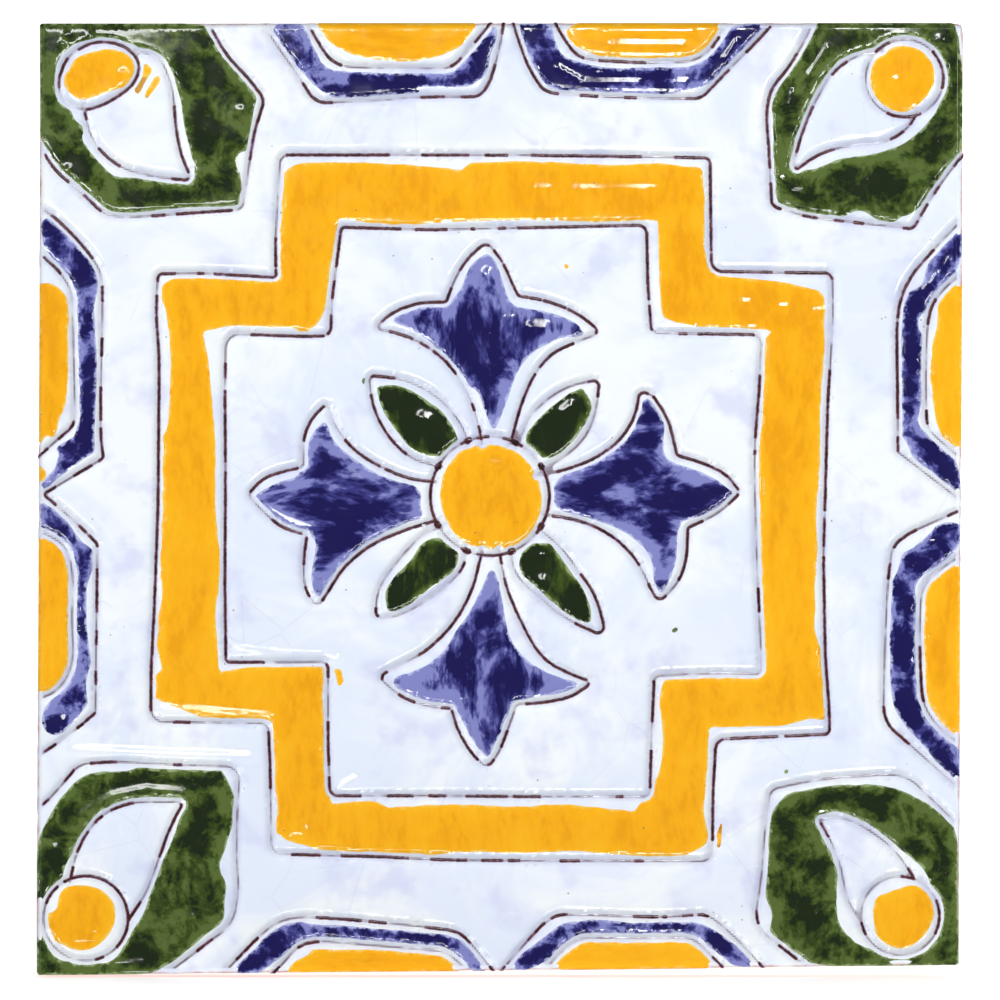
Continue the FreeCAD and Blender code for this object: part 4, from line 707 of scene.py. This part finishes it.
class Shader:
    """A short way to lay out a node material."""

    def __init__(self, name):
        self.material = bpy.data.materials.new(name)
        self.material.use_nodes = True
        self.tree = self.material.node_tree
        self.surface = self.tree.nodes["Principled BSDF"]
        self.place = self.tree.nodes.new("ShaderNodeTexCoord").outputs["Object"]

    def put(self, socket, value):
        """Link a socket to another one, or give it a plain value."""
        if isinstance(value, bpy.types.NodeSocket):
            self.tree.links.new(value, socket)
        elif isinstance(value, tuple) and len(value) == 3 and socket.type == "RGBA":
            socket.default_value = value + (1.0,)
        else:
            socket.default_value = value

    def value(self, name):
        """A number that the mesh holds for each of its points."""
        node = self.tree.nodes.new("ShaderNodeAttribute")
        node.attribute_name = name
        return node.outputs["Fac"]

    def moved(self, shift, stretch=(1, 1, 1), turn=0.0):
        """Places on the object shifted (metres), stretched and turned within the face."""
        node = self.tree.nodes.new("ShaderNodeMapping")
        self.put(node.inputs["Vector"], self.place)
        self.put(node.inputs["Location"], shift)
        self.put(node.inputs["Rotation"], (0.0, turn, 0.0))
        self.put(node.inputs["Scale"], stretch)
        return node.outputs["Vector"]

    def noise(self, size, detail=2.0, rough=0.5, place=None, warp=0.0):
        """Noise whose blotches are about `size` millimetres across."""
        node = self.tree.nodes.new("ShaderNodeTexNoise")
        self.put(node.inputs["Vector"], place or self.place)
        self.put(node.inputs["Scale"], 1 / (size * MM))
        self.put(node.inputs["Detail"], detail)
        self.put(node.inputs["Roughness"], rough)
        self.put(node.inputs["Distortion"], warp)
        return node.outputs["Fac"]

    def cells(self, size, feature, place=None):
        """Distance within, or to the edge of, cells about `size` millimetres across."""
        node = self.tree.nodes.new("ShaderNodeTexVoronoi")
        node.feature = feature
        self.put(node.inputs["Vector"], place or self.place)
        self.put(node.inputs["Scale"], 1 / (size * MM))
        return node.outputs["Distance"]

    def math(self, kind, a, b):
        node = self.tree.nodes.new("ShaderNodeMath")
        node.operation = kind
        self.put(node.inputs[0], a)
        self.put(node.inputs[1], b)
        return node.outputs[0]

    def ramp(self, value, low, high, to_low=0.0, to_high=1.0):
        """Smooth step of a value from one pair of numbers to another."""
        node = self.tree.nodes.new("ShaderNodeMapRange")
        node.interpolation_type = "SMOOTHSTEP"
        for key, item in (("Value", value), ("From Min", low), ("From Max", high),
                          ("To Min", to_low), ("To Max", to_high)):
            self.put(node.inputs[key], item)
        return node.outputs["Result"]

    def mix(self, share, first, second):
        node = self.tree.nodes.new("ShaderNodeMix")
        node.data_type = "RGBA"
        self.put(node.inputs["Factor"], share)
        self.put(node.inputs[6], first)
        self.put(node.inputs[7], second)
        return node.outputs[2]

    def bump(self, height, distance, under=None):
        node = self.tree.nodes.new("ShaderNodeBump")
        self.put(node.inputs["Height"], height)
        self.put(node.inputs["Distance"], distance * MM)
        if under is not None:
            self.put(node.inputs["Normal"], under)
        return node.outputs["Normal"]

    def finish(self, colour, rough, bump=None):
        self.put(self.surface.inputs["Base Color"], colour)
        self.put(self.surface.inputs["Roughness"], rough)
        if bump is not None:
            self.put(self.surface.inputs["Normal"], bump)
        return self.material


# Linear colours: the white glaze, its crests' painted shade and their stain, the worn edge, the clay
# and the specks.
WHITE = (0.80, 0.87, 1.0)
BRIGHT_WHITE = (0.92, 0.97, 1.0)
LAVENDER = (0.66, 0.70, 0.93)
# CREST_GREY is painted shade on the crest flanks; it also colours the craze lines and the pale rim of
# the dark lines.
CREST_GREY = (0.45, 0.44, 0.68)
CREST_STAIN = (0.12, 0.06, 0.09)
EDGE_PINK = (0.60, 0.30, 0.26)
CLAY = (0.50, 0.155, 0.070)
CLAY_PALE = (0.60, 0.25, 0.13)
# CLAY_DARK also serves as painted shade in the pressed keys.
CLAY_DARK = (0.30, 0.075, 0.035)
CLAY_GRIT = (0.70, 0.42, 0.28)
SPECK = (0.16, 0.10, 0.13)
LINE_DARK = (0.022, 0.005, 0.008)
LINE_BROWN = (0.075, 0.018, 0.020)
LINE_FRAYED = (0.30, 0.16, 0.22)


def glaze_bump(shader):
    """Orange-peel ripple of a thick glossy glaze."""
    broad = shader.bump(shader.noise(5.0, 1.0), 0.035)
    return shader.bump(shader.noise(1.1, 1.0), 0.006, broad)


def pinholes(shader, colour):
    """Tiny dark specks where the glaze burst in the kiln."""
    gap = shader.cells(1.5, "F1")
    rare = shader.ramp(shader.noise(2.2, 1.0, place=shader.moved((0.31, 0.2, 0.1))), 0.60, 0.66)
    speck = shader.math("MULTIPLY", shader.ramp(gap, 0.05, 0.085, 1.0, 0.0), rare)
    return shader.mix(shader.math("MULTIPLY", speck, 0.75), colour, SPECK)


def white_glaze_material():
    """Cloudy white, greyed on the crests' flanks by painted shade and partly by thinner glaze there,
    stained on the crests, pink where the edge is worn, crazed.
    """
    shader = Shader("white glaze")
    cloud = shader.ramp(shader.noise(17.0, 4.0, 0.62, warp=0.8), 0.40, 0.60)
    colour = shader.mix(cloud, WHITE, BRIGHT_WHITE)
    patch = shader.ramp(shader.noise(6.0, 3.0, 0.6, shader.moved((0.1, 0.0, 0.4))), 0.50, 0.72)
    colour = shader.mix(shader.math("MULTIPLY", patch, 0.65), colour, LAVENDER)
    # Painted shade: the crest flanks are tinted lavender grey where the relief would be shaded; glaze
    # thinned over the crests gives part of the greying.
    crest = shader.value("crest")
    thinned_and_shaded = shader.ramp(shader.noise(3.0, 3.0), 0.30, 0.60, 0.10, 0.42)
    colour = shader.mix(shader.math("MULTIPLY", crest, thinned_and_shaded), colour, CREST_GREY)
    patchy = shader.ramp(shader.noise(2.6, 3.0), 0.34, 0.60, 0.15, 0.85)
    stain = shader.math("MULTIPLY", shader.ramp(crest, 0.78, 0.96), patchy)
    colour = shader.mix(stain, colour, CREST_STAIN)
    colour = pinholes(shader, colour)
    worn = shader.math("MULTIPLY", shader.value("edge"), shader.noise(1.6, 3.0, 0.6))
    colour = shader.mix(shader.ramp(worn, 0.14, 0.50), colour, EDGE_PINK)
    gap = shader.cells(9.0, "DISTANCE_TO_EDGE", place=shader.moved((0.03, 0.0, 0.06)))
    crazed = shader.ramp(shader.noise(12.0), 0.5, 0.6)
    craze = shader.math("MULTIPLY", shader.ramp(gap, 0.004, 0.012, 1.0, 0.0), crazed)
    colour = shader.mix(shader.math("MULTIPLY", craze, 0.12), colour, CREST_GREY)
    rough = shader.ramp(shader.noise(3.0), 0.3, 0.7, 0.05, 0.12)
    return shader.finish(colour, rough, glaze_bump(shader))


def pigment_material(name, shift, colours, spread, rim_width, load_range, streaks):
    """A brushed colour under gloss: washed out at its rim, dark where the brush left more of it.

    colours run from faint to dark, spread is how uneven the strokes are, and load_range is how
    much is added at the rim and, past rim_width, inside it. streaks stretch and turn the strokes.
    """
    faint, light, body, dark = colours
    shader = Shader(name)
    place = shader.moved(shift, *streaks)
    inset = shader.value("inset")
    stroke = shader.noise(3.6, 4.0, 0.62, place, 0.5)
    grain = shader.noise(0.8, 3.0, 0.65, shader.moved((shift[2], 0.4, shift[0]), *streaks))
    stroke = shader.ramp(stroke, 0.30, 0.70, 0.5 - spread, 0.5 + spread)
    load = shader.math("ADD", shader.math("MULTIPLY", grain, 0.50), stroke)
    load = shader.math("ADD", load, shader.ramp(inset, 0.0, rim_width, load_range[0], load_range[1]))
    colour = shader.mix(shader.ramp(load, 0.56, 0.76), light, body)
    colour = shader.mix(shader.ramp(load, 0.72, 0.92), colour, dark)
    outline = shader.math("ADD", inset, shader.ramp(shader.noise(0.9, 3.0, 0.6), 0.3, 0.7, -0.20, 0.20))
    colour = shader.mix(shader.ramp(outline, 0.0, 0.26, 0.9, 0.0), colour, faint)
    colour = pinholes(shader, colour)
    rough = shader.ramp(shader.noise(2.5), 0.3, 0.7, 0.05, 0.11)
    return shader.finish(colour, rough, glaze_bump(shader))


PLAIN = ((1, 1, 1), 0.0)       # strokes neither stretched nor turned
YELLOWS = ((0.98, 0.62, 0.12), (1.0, 0.505, 0.012), (0.98, 0.448, 0.007), (0.88, 0.370, 0.005))
BLUES = ((0.50, 0.54, 0.84), (0.235, 0.25, 0.57), (0.050, 0.050, 0.24), (0.009, 0.007, 0.085))
GREENS = ((0.32, 0.42, 0.20), (0.100, 0.150, 0.034), (0.040, 0.070, 0.010), (0.011, 0.021, 0.006))


def yellow(name, shift, streaks=PLAIN):
    return pigment_material(name, shift, YELLOWS, 0.12, 1.6, (-0.08, 0.02), streaks)


def blue(name, shift, streaks=PLAIN, rim_width=2.2, load_range=(-0.18, 0.12)):
    return pigment_material(name, shift, BLUES, 0.34, rim_width, load_range, streaks)


def green(name, shift, streaks=PLAIN, rim_width=1.8, load_range=(-0.16, 0.08)):
    return pigment_material(name, shift, GREENS, 0.26, rim_width, load_range, streaks)


def line_material():
    """Dark line that the fire has eaten into: its rim frays into the pale crest."""
    shader = Shader("manganese line")
    patch = shader.ramp(shader.noise(0.9, 3.0, 0.6), 0.35, 0.65)
    colour = shader.mix(patch, LINE_DARK, LINE_BROWN)
    eaten = shader.ramp(shader.noise(1.3, 4.0, 0.7), 0.40, 0.70, 0.045, 0.135)
    frayed = shader.math("SUBTRACT", shader.value("inset"), eaten)
    colour = shader.mix(shader.ramp(frayed, -0.02, 0.05, 1.0, 0.0), colour, LINE_FRAYED)
    colour = shader.mix(shader.ramp(frayed, -0.10, -0.03, 1.0, 0.0), colour, CREST_GREY)
    return shader.finish(colour, 0.14, shader.bump(shader.noise(0.6, 2.0), 0.02))


def clay_material():
    """Blotchy fired clay with dark and pale grit, and painted shade darkening the pressed keys."""
    shader = Shader("fired clay")
    colour = shader.mix(shader.ramp(shader.noise(7.0, 4.0, 0.6), 0.35, 0.65), CLAY, CLAY_PALE)
    colour = shader.mix(shader.ramp(shader.noise(0.7, 3.0, 0.7), 0.58, 0.74), colour, CLAY_DARK)
    grit = shader.ramp(shader.cells(1.7, "F1"), 0.10, 0.20, 1.0, 0.0)
    colour = shader.mix(shader.math("MULTIPLY", grit, 0.4), colour, CLAY_GRIT)
    # Painted shade: the pressed keys in the back are darkened with the dark clay colour.
    colour = shader.mix(shader.math("MULTIPLY", shader.value("pressed"), 0.55), colour, CLAY_DARK)
    rough = shader.bump(shader.noise(0.45, 4.0, 0.7), 0.12)
    return shader.finish(colour, 0.88, shader.bump(shader.noise(3.0, 3.0), 0.2, rough))


# ---- Putting the tile together -----------------------------------------------------------

def put_in(piece, node, material):
    """Give a piece its material and let it stand in for a CAD node."""
    piece.data.materials.append(material)
    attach(piece, "root")
    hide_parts(node)


def nodes_named(start):
    return sorted(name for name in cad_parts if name.startswith(start))


def seed_of(name):
    """A steady number for a piece's own random strokes, from its name."""
    return sum((k + 1) * ord(letter) for k, letter in enumerate(name)) % 9973


def colour_piece(node, material, spacing=COLOUR_SPACING):
    piece = thin_coat(node + "_coat", node, COLOUR_TOP, spacing, COAT_RAG, COLOUR_SWELL)
    put_in(piece, node, material)


def shift_of(node):
    """Where in the noise a piece's own pattern starts, in metres."""
    own = np.random.default_rng(seed_of(node))
    return tuple(float(v) for v in own.uniform(-0.5, 0.5, 3))


put_in(white_glaze(), "white_glaze", white_glaze_material())
put_in(clay_body(), "clay_body", clay_material())

# Yellow: the stepped band, the disc, the corner discs, the panels and loose dabs.
band_streaks = ((1.0, 1.0, 0.4), 0.8)
band_yellow = yellow("yellow band", (0.1, 0.2, 0.3), band_streaks)
colour_piece("yellow_band", band_yellow, 0.5)
disc_streaks = ((1.0, 1.0, 0.45), 0.35)
disc_yellow = yellow("yellow centre", (0.4, 0.1, 0.2), disc_streaks)
colour_piece("centre_disc", disc_yellow, 0.36)
for node in nodes_named("corner_disc_"):
    colour_piece(node, yellow("yellow " + node, shift_of(node), disc_streaks))
for node in nodes_named("panel_"):
    lies_flat = "top_" in node or "bottom_" in node
    along = ((0.35, 1.0, 1.0), 0.0) if lies_flat else ((1.0, 1.0, 0.35), 0.0)
    colour_piece(node, yellow("yellow " + node, shift_of(node), along))
colour_piece("dabs_yellow", yellow("yellow dabs", (0.2, 0.3, 0.1)), 0.32)

# Blue: the four petals and the brackets round the panels.
for node in nodes_named("petal_"):
    upright = node in ("petal_top", "petal_bottom")
    along = ((1.0, 1.0, 0.45), 0.0) if upright else ((0.45, 1.0, 1.0), 0.0)
    colour_piece(node, blue("blue " + node, shift_of(node), along))
for node in nodes_named("bracket_"):
    bracket_blue = blue("blue " + node, shift_of(node), PLAIN, 1.0, (-0.06, 0.16))
    colour_piece(node, bracket_blue)

# Green: the four leaves, the corner rings and loose dabs.
for node in nodes_named("leaf_"):
    lean = math.radians(45 if node in ("leaf_nw", "leaf_se") else -45)
    along = ((1.0, 1.0, 0.5), lean)
    leaf_green = green("green " + node, shift_of(node), along, 0.9, (0.0, 0.26))
    colour_piece(node, leaf_green, 0.36)
for node in nodes_named("corner_ring_"):
    colour_piece(node, green("green " + node, shift_of(node)))
colour_piece("dabs_green", green("green dabs", (0.3, 0.1, 0.4)), 0.32)

# Manganese lines run along the tops of the raised lines.
ink = line_material()
for node in nodes_named("line_"):
    line = thin_coat(node + "_coat", node, LINE_TOP, LINE_SPACING, LINE_RAG, COLOUR_SWELL)
    put_in(line, node, ink)


# ---- Floor, light and camera -------------------------------------------------------------

def glowing_material(name, colour, glow):
    shader = Shader(name)
    shader.put(shader.surface.inputs["Emission Color"], colour)
    shader.put(shader.surface.inputs["Emission Strength"], glow)
    return shader.finish(colour, 0.9)


def flat_panel(name, corners, material):
    """A studio surface that lights the tile but isn't mirrored in its gloss."""
    mesh = bpy.data.meshes.new(name)
    mesh.from_pydata([tuple(MM * v for v in corner) for corner in corners], [], [(0, 1, 2, 3)])
    mesh.materials.append(material)
    panel = bpy.data.objects.new(name, mesh)
    bpy.context.scene.collection.objects.link(panel)
    panel.visible_glossy = False


def softbox(name, place, aim, size, power, colour=(1.0, 1.0, 1.0)):
    """A small rectangular studio lamp, its place and aim in millimetres."""
    lamp = bpy.data.lights.new(name, "AREA")
    lamp.shape = "RECTANGLE"
    lamp.size, lamp.size_y = size[0] * MM, size[1] * MM
    lamp.energy = power
    lamp.color = colour
    holder = bpy.data.objects.new(name, lamp)
    holder.location = Vector(place) * MM
    holder.rotation_euler = (Vector(aim) - Vector(place)).to_track_quat("-Z", "Y").to_euler()
    bpy.context.scene.collection.objects.link(holder)


floor_level = float(CORNERS[:, 1].min()) - 0.3
backdrop_at = 1500
reach = 3000
floor_corners = [(-reach, -reach, floor_level), (reach, -reach, floor_level),
                 (reach, backdrop_at, floor_level), (-reach, backdrop_at, floor_level)]
backdrop_corners = [(-reach, backdrop_at, floor_level), (reach, backdrop_at, floor_level),
                    (reach, backdrop_at, reach), (-reach, backdrop_at, reach)]
flat_panel("floor", floor_corners, glowing_material("floor", (0.93, 0.93, 0.93), 0.6))
flat_panel("backdrop", backdrop_corners, glowing_material("backdrop", (0.95, 0.95, 0.95), 1.1))

world = bpy.data.worlds.new("studio")
world.use_nodes = True
background = world.node_tree.nodes["Background"]
background.inputs["Color"].default_value = (0.97, 0.98, 1.0, 1.0)
background.inputs["Strength"].default_value = 0.15
bpy.context.scene.world = world

# Long narrow lamps make the bright streaks on the crests, the large ones at the sides fill in.
middle = (0, -FIELD_TOP, 0)
softbox("strip_above", (60, -1000, 320), middle, (60, 290), 1.6)
softbox("strip_left", (-130, -1000, 190), (-40, -7, -30), (190, 70), 0.75)
softbox("strip_right", (330, -1000, 120), middle, (30, 130), 0.35)
softbox("side_right", (900, -700, 450), middle, (300, 500), 4.0)
softbox("fill_left", (-900, -800, 100), middle, (500, 700), 0.9, (0.88, 0.92, 1.0))

lens_length = 280.0
film_width = 36.0
seen_width = 113.5         # width of the picture at the tile's face
view_height = -0.34
camera_distance = seen_width * lens_length / film_width
camera_data = bpy.data.cameras.new("camera")
camera_data.lens = lens_length
camera_data.sensor_width = film_width
camera_data.clip_start = 0.01
camera = bpy.data.objects.new("camera", camera_data)
camera.location = Vector((0, -camera_distance - FIELD_TOP, view_height)) * MM
camera.rotation_euler = (math.radians(90), 0, 0)
bpy.context.scene.collection.objects.link(camera)
bpy.context.scene.camera = camera
bpy.context.scene.view_settings.view_transform = "Standard"
